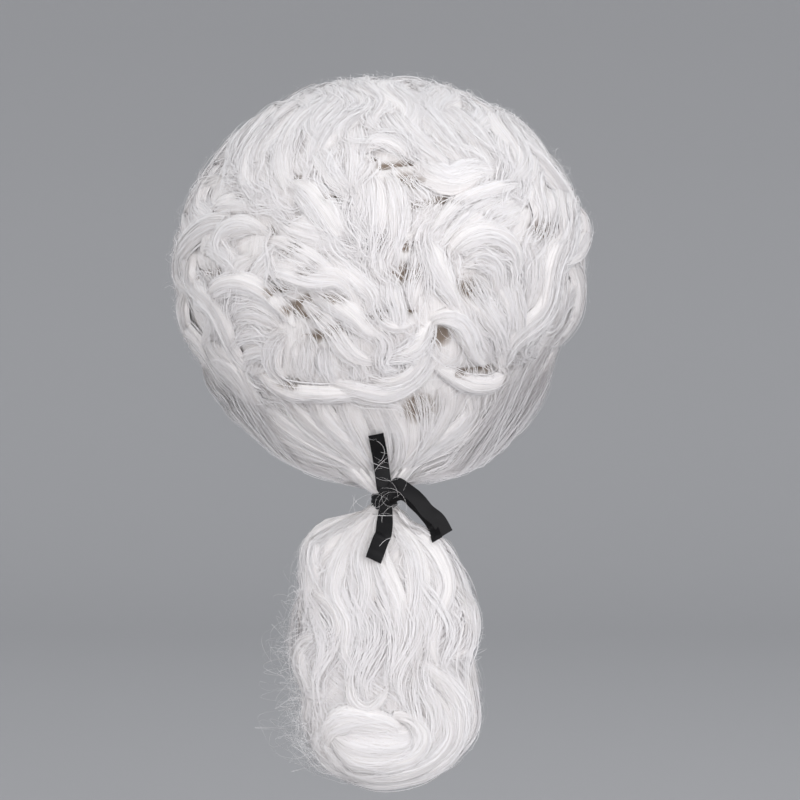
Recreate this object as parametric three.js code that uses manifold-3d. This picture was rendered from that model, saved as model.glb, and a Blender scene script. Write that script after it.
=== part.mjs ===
// A powdered wig: a net cap that is open below, white waved hair all round it, and a queue tied
// with a black ribbon. Millimetres, +Z up. The wearer faces +Y, and +X is the wearer's right.
// The origin is the inner crown of the cap, where the top of a head bears.

import * as THREE from "three";
import { mergeVertices } from "three/addons/utils/BufferGeometryUtils.js";
import Module from "manifold-3d";

const wasm = await Module();
wasm.setup();

// Head and cap sizes
const HEAD_WIDTH = 152;
const HEAD_DEPTH = 192;
const HEAD_DOME = 96;
const CAP_WALL = 1.5;
const CAP_DROP_FRONT = 44;
const CAP_DROP_EAR = 88;
const CAP_DROP_NAPE = 160;
const NAPE_TAPER = 0.29;
const EAR_TAPER = 0.1;

// Hair sizes: the rise is above the origin, the others are from the axis of the head
const HAIR_RISE = 58;
const HAIR_HEIGHT = 302;
const HAIR_HALF_WIDTH = 150;
const HAIR_BACK = 150;
const HAIR_FRONT = 122;
const SEAT_GAP = 0.3;

// Locks: the backing under them lies a sink inside the outer form, and they rise from it
const LOCK_SINK = 8;
const LOCK_WIDTH = 150;
const LOCK_RISE = 10;
const QUEUE_LOCK_RISE = 8;
const HEM_DEPTH = 6;

// A lock's fullness grows from its root and runs out toward its tip
const ROOT_FULLNESS = 0.45;
const FILLING_RATE = 2.4;
const TIP_FULLNESS = 0.2;

// A lock's end curl turns by this many degrees a step, and each step is shorter than the last
const CURL_STEP = 30;
const CURL_TIGHTENING = 0.93;

// Ribbon and queue sizes
const RIBBON_WIDTH = 10.5;
const RIBBON_THICKNESS = 1;
const KNOT_X = 3;
const KNOT_Y = -84;
const KNOT_DROP = 243;
const KNOT_WIDTH = 11;
const KNOT_HEIGHT = 10;
const KNOT_DEPTH = 7;
const ROOT_WIDTH = 16;
const ROOT_DEPTH = 14;
const GATHER_HEIGHT = 32;
const GATHER_WIDTHS = [3.6, 2.6, 1.6, 1];
const GATHER_DEEPENING = 0.35;
const QUEUE_LENGTH = 191;
const QUEUE_HALF_WIDTH = 62;
const QUEUE_HALF_DEPTH = 28;
const QUEUE_SWING = 16;
const QUEUE_SWING_ANGLE = 112.5;

// The locks of the back are charted as they are seen from this far behind the head
const VIEW_DISTANCE = 1900;
const VIEW_X = 13.7;
const VIEW_Z = -174;

// How finely the solids are divided
const TURNS = 20;
const FORM_ROWS = 9;
const CAP_ROWS = 8;
const FILLER_ROWS = 5;
const ROOT_SIDES = 12;
const WINDING_SIDES = 14;
const KNOT_ROWS = 6;
const LOCK_STEPS = 4;
const STRIP_STEPS = 3;
const WEDGE_STEPS = 4;
const CORNER_GRID = 0.004;

// A lock's half width stays under this share of the radius that its way turns on
const TIGHTEST_SHARE = 0.8;

// Steps for measuring a direction on a curve, and how a place on the form is searched for
const FORM_STEP = 0.01;
const LOCK_PROBE = 0.04;
const SEARCH_ROUNDS = 30;
const SEARCH_PACE = 0.6;
const LEAST_SHARE = 0.02;
const WIDEST_SINE = 0.985;
const QUEUE_WIDEST_SINE = 0.96;

// The outer form: each row is one station from the crown to the hem. The columns are the drop from
// the top of the hair and the reach from the axis, as shares of the height and of the reach of the
// side, the back and the front of the hair.
const FORM_COLUMNS = ["sideDrop", "left", "right", "backDrop", "back", "frontDrop", "front"];
const FORM = [
  [0.0, 0.0, 0.0, 0.0, 0.0, 0.0, 0.0],
  [0.006, 0.15, 0.15, 0.006, 0.14, 0.005, 0.17],
  [0.022, 0.3, 0.31, 0.028, 0.3, 0.018, 0.35],
  [0.056, 0.46, 0.48, 0.068, 0.47, 0.038, 0.53],
  [0.105, 0.61, 0.65, 0.125, 0.645, 0.066, 0.7],
  [0.175, 0.765, 0.8, 0.195, 0.8, 0.1, 0.86],
  [0.26, 0.885, 0.91, 0.28, 0.915, 0.143, 0.965],
  [0.36, 0.96, 0.985, 0.38, 0.985, 0.19, 1.0],
  [0.47, 1.0, 0.98, 0.5, 1.0, 0.235, 0.985],
  [0.575, 0.965, 0.94, 0.62, 0.955, 0.272, 0.935],
  [0.66, 0.885, 0.83, 0.74, 0.86, 0.303, 0.865],
  [0.725, 0.81, 0.775, 0.86, 0.7, 0.326, 0.79],
  [0.765, 0.755, 0.74, 0.97, 0.53, 0.342, 0.72],
];

// The locks of the back, as they are seen from behind. Each starts at one place and runs to the
// other, across from the axis and down from the top, as shares of the half width and the height of
// the hair. Bow and sway bend the way between, as shares of its length: a bow bends one way, upward
// on a lock that runs to the right, and a sway bends both ways. Curl turns on past the end, in
// degrees. Width and rise are shares of the widest and the thickest lock.
const LOCK_COLUMNS = ["across", "down", "toAcross", "toDown", "bow", "sway", "curl", "width", "rise"];
const BACK_LOCKS = [
  [-0.11, 0.18, 0.19, 0.2, 0.3, 0.0, -50, 0.13, 0.9],
  [-0.38, 0.08, -0.63, 0.28, -0.16, 0.1, 0, 0.18, 1.0],
  [-0.39, 0.2, -0.12, 0.4, 0.12, 0.05, 0, 0.2, 1.0],
  [-0.6, 0.09, -0.9, 0.22, -0.05, 0.1, 0, 0.17, 1.0],
  [-0.7, 0.16, -0.93, 0.33, 0.1, -0.08, 0, 0.17, 1.0],
  [-0.84, 0.34, -0.56, 0.37, 0.32, 0.0, -150, 0.14, 1.1],
  [-0.93, 0.39, -0.93, 0.53, -0.3, 0.0, 40, 0.15, 1.1],
  [-0.67, 0.51, -0.43, 0.61, 0.14, 0.0, 0, 0.1, 0.9],
  [-0.41, 0.545, -0.11, 0.68, 0.05, 0.05, 0, 0.11, 0.8],
  [-0.95, 0.5, -0.88, 0.67, -0.08, 0.05, 0, 0.16, 0.9],
  [-0.84, 0.69, -0.63, 0.77, 0.25, 0.0, -60, 0.11, 0.9],
  [-0.5, 0.755, 0.04, 0.775, -0.06, 0.02, 0, 0.11, 1.0],
  [0.02, 0.775, 0.3, 0.69, -0.2, 0.0, 0, 0.13, 1.0],
  [-0.38, 0.72, 0.02, 0.7, 0.08, 0.0, 0, 0.12, 0.9],
  [-0.05, 0.21, -0.02, 0.44, -0.04, 0.05, 0, 0.15, 0.8],
  [-0.12, 0.42, 0.02, 0.61, -0.1, 0.05, 0, 0.13, 0.8],
  [0.22, 0.37, 0.1, 0.62, -0.08, 0.05, 0, 0.14, 0.8],
  [0.12, 0.17, 0.52, 0.24, -0.36, 0.0, 0, 0.14, 1.0],
  [0.71, 0.25, 0.23, 0.37, -0.12, 0.0, 0, 0.11, 1.0],
  [0.42, 0.37, 0.64, 0.5, 0.42, 0.0, -30, 0.17, 1.1],
  [0.85, 0.28, 0.78, 0.44, 0.34, 0.0, -40, 0.13, 1.0],
  [0.55, 0.1, 0.92, 0.32, 0.1, 0.03, 0, 0.19, 1.0],
  [0.93, 0.34, 0.92, 0.63, 0.07, 0.03, 0, 0.17, 1.0],
  [0.47, 0.49, 0.62, 0.69, 0.08, 0.04, 0, 0.13, 0.9],
  [0.24, 0.61, 0.46, 0.6, 0.26, 0.0, -110, 0.11, 0.9],
  [0.23, 0.7, 0.72, 0.71, -0.17, 0.0, 0, 0.09, 1.0],
  [0.73, 0.66, 0.74, 0.79, 0.12, 0.0, 0, 0.14, 0.9],
  [-0.8, 0.74, -0.1, 0.955, -0.14, 0.0, 0, 0.14, 0.8],
  [-0.64, 0.76, -0.03, 0.98, -0.07, 0.03, 0, 0.14, 0.8],
  [-0.12, 0.79, -0.01, 0.97, -0.05, 0.0, 0, 0.12, 0.8],
  [0.2, 0.76, 0.07, 0.98, 0.16, 0.0, 0, 0.13, 0.8],
  [0.47, 0.77, 0.08, 0.98, 0.12, 0.0, 0, 0.14, 0.8],
  [0.75, 0.77, 0.09, 0.985, 0.16, 0.0, 0, 0.13, 0.8],
];

// The locks of the sides and the front. They start and end at a turn round the head, in degrees
// from the middle of the back, and at a share of the way from the crown to the hem.
const TURN_COLUMNS = ["turn", "fall", "toTurn", "toFall", "bow", "sway", "curl", "width", "rise"];
const SIDE_LOCKS = [
  [132, 0.86, 84, 0.5, 0.12, 0.06, 0, 0.19, 1.0],
  [126, 0.95, 80, 0.66, 0.12, -0.05, 60, 0.18, 1.0],
  [121, 0.985, 76, 0.83, 0.12, 0.05, 90, 0.17, 1.1],
  [138, 0.72, 92, 0.36, 0.1, 0.06, 0, 0.19, 0.9],
];
const CROWN_LOCKS = [
  [-8, 0.06, -14, 0.42, 0.02, 0.05, 0, 0.2, 0.9],
  [-38, 0.05, -46, 0.4, 0.06, 0.04, 0, 0.24, 0.9],
  [-78, 0.05, -80, 0.36, 0.06, 0.04, 0, 0.26, 0.9],
  [28, 0.05, 32, 0.41, -0.04, 0.05, 0, 0.24, 0.9],
  [74, 0.05, 72, 0.38, -0.06, 0.04, 0, 0.26, 0.9],
];
const FRONT_LOCKS = [
  [178, 0.985, 178, 0.07, 0.02, 0.03, 0, 0.26, 0.9],
  [160, 0.98, 140, 0.08, 0.04, 0.04, 0, 0.25, 0.9],
  [146, 0.97, 110, 0.1, 0.05, 0.04, 0, 0.24, 0.9],
  [-162, 0.98, -140, 0.08, -0.04, 0.04, 0, 0.25, 0.9],
  [-146, 0.97, -110, 0.1, -0.05, -0.04, 0, 0.24, 0.9],
];

// The queue: each row is one section, down from the knot as a share of its length. Left, right and
// thick are shares of its half width and half depth.
const QUEUE_COLUMNS = ["down", "left", "right", "thick"];
const QUEUE_FORM = [
  [0.0, 0.13, 0.13, 0.25],
  [0.035, 0.22, 0.16, 0.3],
  [0.083, 0.55, 0.28, 0.42],
  [0.137, 0.84, 0.58, 0.56],
  [0.21, 0.91, 0.79, 0.7],
  [0.317, 0.94, 0.945, 0.86],
  [0.44, 0.985, 1.05, 0.97],
  [0.586, 1.0, 1.0, 1.0],
  [0.68, 0.9, 1.03, 0.98],
  [0.784, 0.93, 1.055, 0.95],
  [0.892, 0.8, 0.89, 0.82],
  [0.964, 0.545, 0.62, 0.56],
  [1.0, 0.15, 0.2, 0.22],
];

// The locks of the queue, across from its middle and down from the knot, as shares of its half width
// and its length. Face is 1 on the side away from the neck and -1 on the side next to it.
const QUEUE_LOCK_COLUMNS = [...LOCK_COLUMNS, "face"];
const QUEUE_LOCKS = [
  [-0.05, 0.05, -0.98, 0.36, -0.2, 0.0, 0, 0.15, 1.0, 1],
  [-0.9, 0.3, -0.98, 0.74, 0.04, 0.05, 0, 0.15, 1.0, 1],
  [0.08, 0.06, 0.86, 0.36, 0.18, 0.0, 0, 0.14, 1.0, 1],
  [0.85, 0.32, 0.98, 0.66, 0.12, 0.0, 0, 0.15, 1.0, 1],
  [0.5, 0.58, 0.6, 0.9, 0.24, 0.0, 0, 0.13, 1.1, 1],
  [0.98, 0.66, 0.72, 0.95, 0.14, 0.0, 0, 0.13, 1.0, 1],
  [-0.66, 0.76, 0.42, 0.86, -0.45, 0.0, 0, 0.15, 1.1, 1],
  [-0.5, 0.72, 0.3, 0.74, 0.3, 0.0, -60, 0.13, 1.1, 1],
  [0.0, 0.1, 0.05, 0.94, 0.04, 0.05, 0, 0.18, 0.9, -1],
  [0.5, 0.2, 0.62, 0.88, 0.08, 0.05, 0, 0.18, 0.9, -1],
];

// Where the hair is parted into its pieces
const CROWN_HALF_ANGLE = 60;
const CROWN_TIP_DROP = 42;
const FRONT_TURN = 118;
const SIDE_TURN = 52;
const NAPE_DROP = 172;

// The ribbon's strips: each row is one place along a strip, to the right of the knot, above it and
// clear of what it lies over, in widths of the ribbon, and how far the strip is turned, in degrees.
const STRIP_COLUMNS = ["right", "up", "lift", "twist"];
const TAIL_UP = [
  [0.04, 0.5, 0.35, 0],
  [-0.08, 1.4, 0.28, 4],
  [-0.28, 2.9, 0.25, 2],
  [-0.54, 4.35, 0.4, 0],
];
const SIDE_LOOP = [
  [0.3, 0.45, 0.55, 10],
  [1.14, 0.98, 0.75, -20],
  [1.9, 0.75, 0.85, -25],
  [2.75, -0.05, 0.85, -20],
  [3.55, -1.05, 0.75, -15],
  [4.15, -2.4, 0.6, -10],
];
const TAIL_DOWN = [
  [0.1, -0.3, 0.45, 0],
  [0.0, -1.7, 0.3, 4],
  [-0.35, -2.8, 0.25, -4],
  [-0.7, -3.75, 0.35, -8],
];

const rad = THREE.MathUtils.degToRad;

/** Names the columns of one table row. */
function named(columns, row) {
  return Object.fromEntries(columns.map((column, k) => [column, row[k]]));
}

/** A smooth curve through a table's rows, which gives every column at a share of the way. */
function tableCurve(columns, rows, stations) {
  const curve = new THREE.CubicInterpolant(stations, rows.flat(), columns.length);
  return (share) => named(columns, [...curve.evaluate(THREE.MathUtils.clamp(share, 0, 1))]);
}

const evenly = (rows) => rows.map((_, k) => k / (rows.length - 1));
const formAt = tableCurve(FORM_COLUMNS, FORM, evenly(FORM));
const queueAt = tableCurve(
  QUEUE_COLUMNS,
  QUEUE_FORM,
  QUEUE_FORM.map((row) => row[0]),
);

/** Turns a three.js geometry into a solid, with its shared corners merged. */
function toSolid(geometry) {
  const bare = geometry.clone();
  bare.deleteAttribute("normal");
  bare.deleteAttribute("uv");
  const merged = mergeVertices(bare, 1e-3);
  const mesh = new wasm.Mesh({
    numProp: 3,
    vertProperties: Float32Array.from(merged.attributes.position.array),
    triVerts: withoutSlivers(merged),
  });
  return new wasm.Manifold(mesh);
}

/** The triangles of a merged geometry, without those that shrank to a line or lie back to back. */
function withoutSlivers(geometry) {
  const counts = new Map();
  const index = geometry.index.array;
  for (let k = 0; k < index.length; k += 3) {
    const corners = [index[k], index[k + 1], index[k + 2]];
    if (new Set(corners).size < 3) continue;
    const low = corners.indexOf(Math.min(...corners));
    const [a, b, c] = [0, 1, 2].map((j) => corners[(low + j) % 3]);
    const [front, back] = [`${a} ${b} ${c}`, `${a} ${c} ${b}`];
    if (counts.get(back) > 0) counts.set(back, counts.get(back) - 1);
    else counts.set(front, (counts.get(front) ?? 0) + 1);
  }
  const kept = [...counts].flatMap(([key, count]) => Array(count).fill(key.split(" ").map(Number)));
  return Uint32Array.from(kept.flat());
}

/** Places every corner of a geometry by a function of where it was. */
function placed(geometry, place) {
  const position = geometry.attributes.position;
  for (let k = 0; k < position.count; k += 1) {
    const point = place(new THREE.Vector3().fromBufferAttribute(position, k), k);
    position.setXYZ(k, point.x, point.y, point.z);
  }
  return geometry;
}

/** The largest body of a solid, so that a cut leaves no crumbs. */
function largest(solid) {
  return solid.decompose().reduce((a, b) => (a.volume() > b.volume() ? a : b));
}

/** How much of a direction is toward the side of the head, from 0 at the back or front to 1. */
const sideways = (turn) => Math.sin(turn) ** 2;

/** A place on the head, or on a shell that lies `out` beyond it. Slope 0 is the top of the head. */
function headPoint(turn, slope, out) {
  const past = Math.max(slope - Math.PI / 2, 0);
  const reach = Math.sin(Math.min(slope, Math.PI / 2));
  const taper = THREE.MathUtils.lerp(NAPE_TAPER, EAR_TAPER, sideways(turn));
  const round = reach * (1 - taper * past);
  const dome = HEAD_DOME + out;
  return new THREE.Vector3(
    (HEAD_WIDTH / 2 + out) * round * Math.sin(turn),
    -(HEAD_DEPTH / 2 + out) * round * Math.cos(turn),
    out - dome * (1 - Math.cos(Math.min(slope, Math.PI / 2))) - dome * past,
  );
}

/** The slope at which a shell `out` beyond the head has dropped to a level below the origin. */
function slopeAt(drop, out) {
  const dome = HEAD_DOME + out;
  const below = drop + out;
  return below < dome ? Math.acos(1 - below / dome) : Math.PI / 2 + (below - dome) / dome;
}

/** How far the cap's rim lies below the origin. */
function rimDrop(turn) {
  const middle = Math.cos(turn) > 0 ? CAP_DROP_NAPE : CAP_DROP_FRONT;
  return THREE.MathUtils.lerp(middle, CAP_DROP_EAR, sideways(turn));
}

/** A place on the hair's outer form: share 0 is the crown and 1 the hem. */
function formPoint(turn, share) {
  const row = formAt(share);
  const behind = Math.cos(turn) > 0;
  const reach = behind ? row.back * HAIR_BACK : row.front * HAIR_FRONT;
  const width = (Math.sin(turn) > 0 ? row.right : row.left) * HAIR_HALF_WIDTH;
  const drop = THREE.MathUtils.lerp(behind ? row.backDrop : row.frontDrop, row.sideDrop, sideways(turn));
  return new THREE.Vector3(
    width * Math.sin(turn),
    -reach * Math.cos(turn),
    HAIR_RISE - drop * HAIR_HEIGHT,
  );
}

/** The outward direction of the hair's outer form. */
function formNormal(turn, share) {
  if (share <= 0) return new THREE.Vector3(0, 0, 1);
  const at = THREE.MathUtils.clamp(share, 4 * FORM_STEP, 1 - FORM_STEP);
  const along = formPoint(turn, at + FORM_STEP).sub(formPoint(turn, at - FORM_STEP));
  const round = formPoint(turn + FORM_STEP, at).sub(formPoint(turn - FORM_STEP, at));
  return round.cross(along).normalize().negate();
}

/** The turn and share at which the form's back has a width and a level. */
function placeBehind(x, z) {
  let turn = 0;
  let share = 0.5;
  for (let round = 0; round < SEARCH_ROUNDS; round += 1) {
    const row = formAt(share);
    const width = Math.max((x > 0 ? row.right : row.left) * HAIR_HALF_WIDTH, 1);
    const wantTurn = Math.asin(THREE.MathUtils.clamp(x / width, -WIDEST_SINE, WIDEST_SINE));
    const slip = (formPoint(turn, share).z - z) / HAIR_HEIGHT;
    turn = THREE.MathUtils.lerp(turn, wantTurn, SEARCH_PACE);
    share = THREE.MathUtils.clamp(share + SEARCH_PACE * slip, LEAST_SHARE, 1);
  }
  return { turn, share };
}

/** The turn and share of the form's back that show at a place across and down, seen from behind. */
function seat(across, down) {
  const eye = new THREE.Vector3(VIEW_X, -VIEW_DISTANCE, VIEW_Z);
  const aim = new THREE.Vector3(across * HAIR_HALF_WIDTH, 0, HAIR_RISE - down * HAIR_HEIGHT);
  let place = placeBehind(aim.x, aim.z);
  for (let round = 0; round < 3; round += 1) {
    const nearness = (VIEW_DISTANCE + formPoint(place.turn, place.share).y) / VIEW_DISTANCE;
    const want = eye.clone().lerp(aim, nearness);
    place = placeBehind(want.x, want.z);
  }
  return place;
}

/** The flat places of a lock's way, from its row's ends, bow, sway and curl. */
function lockWay(start, end, { bow, sway, curl }) {
  const along = end.clone().sub(start);
  const beside = new THREE.Vector2(-along.y, along.x);
  const way = [];
  for (let k = 0; k <= LOCK_STEPS; k += 1) {
    const share = k / LOCK_STEPS;
    const off = bow * 4 * share * (1 - share) + sway * Math.sin(2 * Math.PI * share);
    way.push(start.clone().addScaledVector(along, share).addScaledVector(beside, off));
  }
  const step = along.length() / LOCK_STEPS;
  const heading = way[LOCK_STEPS].clone().sub(way[LOCK_STEPS - 1]).setLength(step);
  const turns = Math.round(Math.abs(curl) / CURL_STEP);
  for (let k = 0; k < turns; k += 1) {
    heading.rotateAround(new THREE.Vector2(), rad(curl) / turns).multiplyScalar(CURL_TIGHTENING);
    way.push(way[way.length - 1].clone().add(heading));
  }
  return way;
}

/** How full a lock is along its length: blunt at the root and drawn out at the tip. */
function fullness(share) {
  const filling = Math.min(1, ROOT_FULLNESS + FILLING_RATE * share);
  return filling * Math.max(Math.sqrt(1 - share ** FILLING_RATE), TIP_FULLNESS);
}

/** A lens-shaped lock round places that have an outward direction, narrowed where it turns tightly. */
function lockSolid(places, width, rise) {
  const curve = new THREE.CatmullRomCurve3(places.map((place) => place.point));
  const outward = new THREE.CatmullRomCurve3(places.map((place) => place.normal));
  const length = curve.getLength();
  const steps = Math.max(LOCK_STEPS, places.length - 1);
  const tube = new THREE.CylinderGeometry(1, 1, 1, 4, steps);
  return outwardSolid(
    placed(tube, (corner) => {
      const share = 0.5 - corner.y;
      const [before, after] = [Math.max(share - LOCK_PROBE, 0), Math.min(share + LOCK_PROBE, 1)];
      const normal = outward.getPoint(share).normalize();
      const tangent = curve.getTangent(share);
      const side = tangent.clone().cross(normal).normalize();
      const turning = curve.getTangent(after).sub(curve.getTangent(before)).dot(side);
      const radius = ((after - before) * length) / Math.max(Math.abs(turning), 1e-3);
      const full = fullness(share);
      return curve
        .getPoint(share)
        .addScaledVector(side, corner.x * Math.min((full * width) / 2, TIGHTEST_SHARE * radius))
        .addScaledVector(normal, corner.z * full * rise);
    }),
  );
}

/** A lock that lies on the hair's outer form. */
function lockOnForm(places, row) {
  const seated = places.map(({ turn, share }) => {
    const normal = formNormal(turn, share);
    return { point: formPoint(turn, share).addScaledVector(normal, -LOCK_SINK), normal };
  });
  return lockSolid(seated, row.width * LOCK_WIDTH, row.rise * LOCK_RISE);
}

/** The locks of the back, charted as they are seen from behind. */
function backLocks() {
  return BACK_LOCKS.map((cells) => {
    const row = named(LOCK_COLUMNS, cells);
    const flat = (across, down) => new THREE.Vector2(across * HAIR_HALF_WIDTH, -down * HAIR_HEIGHT);
    const way = lockWay(flat(row.across, row.down), flat(row.toAcross, row.toDown), row);
    const places = way.map((at) => seat(at.x / HAIR_HALF_WIDTH, -at.y / HAIR_HEIGHT));
    return lockOnForm(places, row);
  });
}

/** The locks of a side or of the front, charted by their turn; hand -1 mirrors them. */
function turnedLocks(rows, hand) {
  const girth = HAIR_HALF_WIDTH * Math.PI;
  return rows.map((cells) => {
    const row = named(TURN_COLUMNS, cells);
    const flat = (turn, fall) => new THREE.Vector2((turn / 180) * girth, -fall * HAIR_HEIGHT);
    const way = lockWay(flat(row.turn, row.fall), flat(row.toTurn, row.toFall), row);
    const places = way.map((at) => ({
      turn: (hand * at.x * Math.PI) / girth,
      share: THREE.MathUtils.clamp(-at.y / HAIR_HEIGHT, LEAST_SHARE, 1),
    }));
    return lockOnForm(places, row);
  });
}

/** A shell round the head: its closed profile runs down the outside, round the edge and up inside. */
function shell(rows, outer, inner) {
  const profile = [];
  for (let k = 0; k <= rows; k += 1) profile.push(new THREE.Vector2(k, rows));
  for (let k = rows; k >= 0; k -= 1) profile.push(new THREE.Vector2(k, 0));
  const lathe = new THREE.LatheGeometry(profile, TURNS);
  return placed(lathe, (_, corner) => {
    const turn = (Math.floor(corner / profile.length) / TURNS) * 2 * Math.PI;
    const k = corner % profile.length;
    return k <= rows ? outer(turn, k / rows) : inner(turn, (profile.length - 1 - k) / rows);
  });
}

/** A solid that faces outward, whichever way its geometry was wound. */
function outwardSolid(geometry) {
  const solid = toSolid(geometry);
  if (solid.volume() > 0) return solid;
  const index = geometry.index.array;
  for (let k = 0; k < index.length; k += 3) [index[k], index[k + 1]] = [index[k + 1], index[k]];
  return toSolid(geometry);
}

/** The net cap. */
function wigCap() {
  const wall = (out) => (turn, share) => headPoint(turn, share * slopeAt(rimDrop(turn), out), out);
  return outwardSolid(shell(CAP_ROWS, wall(CAP_WALL), wall(0)));
}

/** The backing of the hair, from the cap out to just inside the outer form, with its locks. */
function hairMass() {
  const room = CAP_WALL + SEAT_GAP;
  const outer = (turn, share) =>
    formPoint(turn, share).addScaledVector(formNormal(turn, share), -LOCK_SINK);
  const inner = (turn, share) => {
    const hem = formPoint(turn, 1);
    return headPoint(turn, share * slopeAt(-hem.z, 0), -HEM_DEPTH);
  };
  const backing = outwardSolid(shell(FORM_ROWS, outer, inner));
  const hollow = outwardSolid(headFiller(room));
  const locks = [
    ...backLocks(),
    ...turnedLocks(CROWN_LOCKS, 1),
    ...turnedLocks(SIDE_LOCKS, 1),
    ...turnedLocks(SIDE_LOCKS, -1),
    ...turnedLocks(FRONT_LOCKS, 1),
  ];
  return wasm.Manifold.union([backing, ...locks]).subtract(hollow);
}

/** The room for the head and the cap, faceted as the cap is, and drawn on down past the rim. */
function headFiller(out) {
  const rows = CAP_ROWS + FILLER_ROWS;
  const profile = [];
  for (let k = 0; k <= rows; k += 1) profile.push(new THREE.Vector2(k, 0));
  profile.push(new THREE.Vector2(0, 1));
  const floor = slopeAt(HAIR_HEIGHT, out);
  return placed(new THREE.LatheGeometry(profile, TURNS), (_, corner) => {
    const turn = (Math.floor(corner / profile.length) / TURNS) * 2 * Math.PI;
    const k = corner % profile.length;
    if (k > rows) return new THREE.Vector3(0, 0, headPoint(turn, floor, out).z);
    const rim = slopeAt(rimDrop(turn), CAP_WALL);
    const slope =
      k < CAP_ROWS ? (k / CAP_ROWS) * rim : THREE.MathUtils.lerp(rim, floor, (k - CAP_ROWS) / FILLER_ROWS);
    return headPoint(turn, slope, out);
  });
}

/** A cone that opens upward and holds the crown's hair. */
function crownCone(drop) {
  const height = 2 * HAIR_HALF_WIDTH;
  const mouth = height * Math.tan(rad(CROWN_HALF_ANGLE));
  const profile = [new THREE.Vector2(0, 0), new THREE.Vector2(mouth, height), new THREE.Vector2(0, height)];
  const cone = new THREE.LatheGeometry(profile, TURNS);
  cone.rotateX(Math.PI / 2);
  cone.translate(0, 0, -drop);
  return outwardSolid(cone);
}

/** A tall wedge about the axis of the head, between two turns, kept half a gap inside each. */
function wedge(from, to) {
  const reach = 3 * HAIR_HALF_WIDTH;
  const middle = (from + to) / 2;
  const inset = SEAT_GAP / 2 / Math.sin((to - from) / 2);
  const tip = new THREE.Vector2(Math.sin(middle) * inset, -Math.cos(middle) * inset);
  const outline = new THREE.Shape([tip]);
  outline.moveTo(tip.x, tip.y);
  for (let k = 0; k <= WEDGE_STEPS; k += 1) {
    const turn = THREE.MathUtils.lerp(from, to, k / WEDGE_STEPS);
    outline.lineTo(tip.x + Math.sin(turn) * reach, tip.y - Math.cos(turn) * reach);
  }
  const prism = new THREE.ExtrudeGeometry(outline, { depth: 3 * HAIR_HEIGHT, bevelEnabled: false });
  prism.translate(0, 0, -2 * HAIR_HEIGHT);
  return outwardSolid(prism);
}

/** A block that fills all the room above or below a level. */
function levelBlock(level, above) {
  const size = 4 * HAIR_HEIGHT;
  const block = new THREE.BoxGeometry(size, size, size);
  block.translate(0, 0, level + ((above ? 1 : -1) * size) / 2);
  return toSolid(block);
}

/** The hair, parted into its named pieces. */
function hairPieces(mass) {
  const slant = SEAT_GAP / Math.sin(rad(CROWN_HALF_ANGLE));
  const below = mass.subtract(crownCone(CROWN_TIP_DROP + slant));
  const front = wedge(rad(FRONT_TURN), rad(360 - FRONT_TURN));
  const right = wedge(rad(SIDE_TURN), rad(FRONT_TURN));
  const left = wedge(rad(-FRONT_TURN), rad(-SIDE_TURN));
  const back = below.intersect(wedge(rad(-SIDE_TURN), rad(SIDE_TURN)));
  const nape = back.intersect(levelBlock(-NAPE_DROP - SEAT_GAP / 2, false));
  return {
    crown_hair: mass.intersect(crownCone(CROWN_TIP_DROP)),
    front_hair: below.intersect(front),
    left_side_hair: below.intersect(left),
    right_side_hair: below.intersect(right),
    back_hair: back.intersect(levelBlock(-NAPE_DROP + SEAT_GAP / 2, true)),
    nape_hair: wasm.Manifold.union(nape, napeGather()),
  };
}

/** A solid drawn out between flat sections, each an ellipse about its own middle. */
function lofted(sections, sides) {
  const last = sections.length - 1;
  const tube = new THREE.CylinderGeometry(1, 1, 1, sides, last);
  return toSolid(
    placed(tube, (corner) => {
      const row = sections[Math.round((0.5 - corner.y) * last)];
      const reach = corner.x > 0 ? row.right : row.left;
      return new THREE.Vector3(row.x + corner.x * reach, row.y - corner.z * row.thick, row.z);
    }),
  );
}

/** The tied root: the hair of the nape narrows to it. */
function napeGather() {
  const last = GATHER_WIDTHS.length - 1;
  const sections = GATHER_WIDTHS.map((wide, k) => ({
    x: KNOT_X,
    y: KNOT_Y,
    z: -KNOT_DROP + GATHER_HEIGHT * (1 - k / last),
    left: (ROOT_WIDTH / 2) * wide,
    right: (ROOT_WIDTH / 2) * wide,
    thick: (ROOT_DEPTH / 2) * (1 + (wide - 1) * GATHER_DEEPENING),
  }));
  return lofted(sections, ROOT_SIDES);
}

/** The middle of the queue at a share of its length: it swings away from the neck and back. */
function queueMiddle(down) {
  return new THREE.Vector3(
    KNOT_X,
    KNOT_Y - QUEUE_SWING * Math.sin(Math.min(down, 1) * rad(QUEUE_SWING_ANGLE)),
    -KNOT_DROP - SEAT_GAP - down * QUEUE_LENGTH,
  );
}

/** A place on a face of the queue, with its outward direction. */
function queuePlace(across, down, face) {
  const row = queueAt(down);
  const middle = queueMiddle(down);
  const reach = (across > 0 ? row.right : row.left) * QUEUE_HALF_WIDTH;
  const widest = QUEUE_WIDEST_SINE;
  const off = THREE.MathUtils.clamp((across * QUEUE_HALF_WIDTH) / reach, -widest, widest);
  const thick = row.thick * QUEUE_HALF_DEPTH - LOCK_SINK / 2;
  const point = new THREE.Vector3(
    middle.x + off * (reach - LOCK_SINK / 2),
    middle.y - face * thick * Math.sqrt(1 - off * off),
    middle.z,
  );
  const normal = new THREE.Vector3(off / reach, (-face * Math.sqrt(1 - off * off)) / thick, 0).normalize();
  return { point, normal };
}

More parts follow.
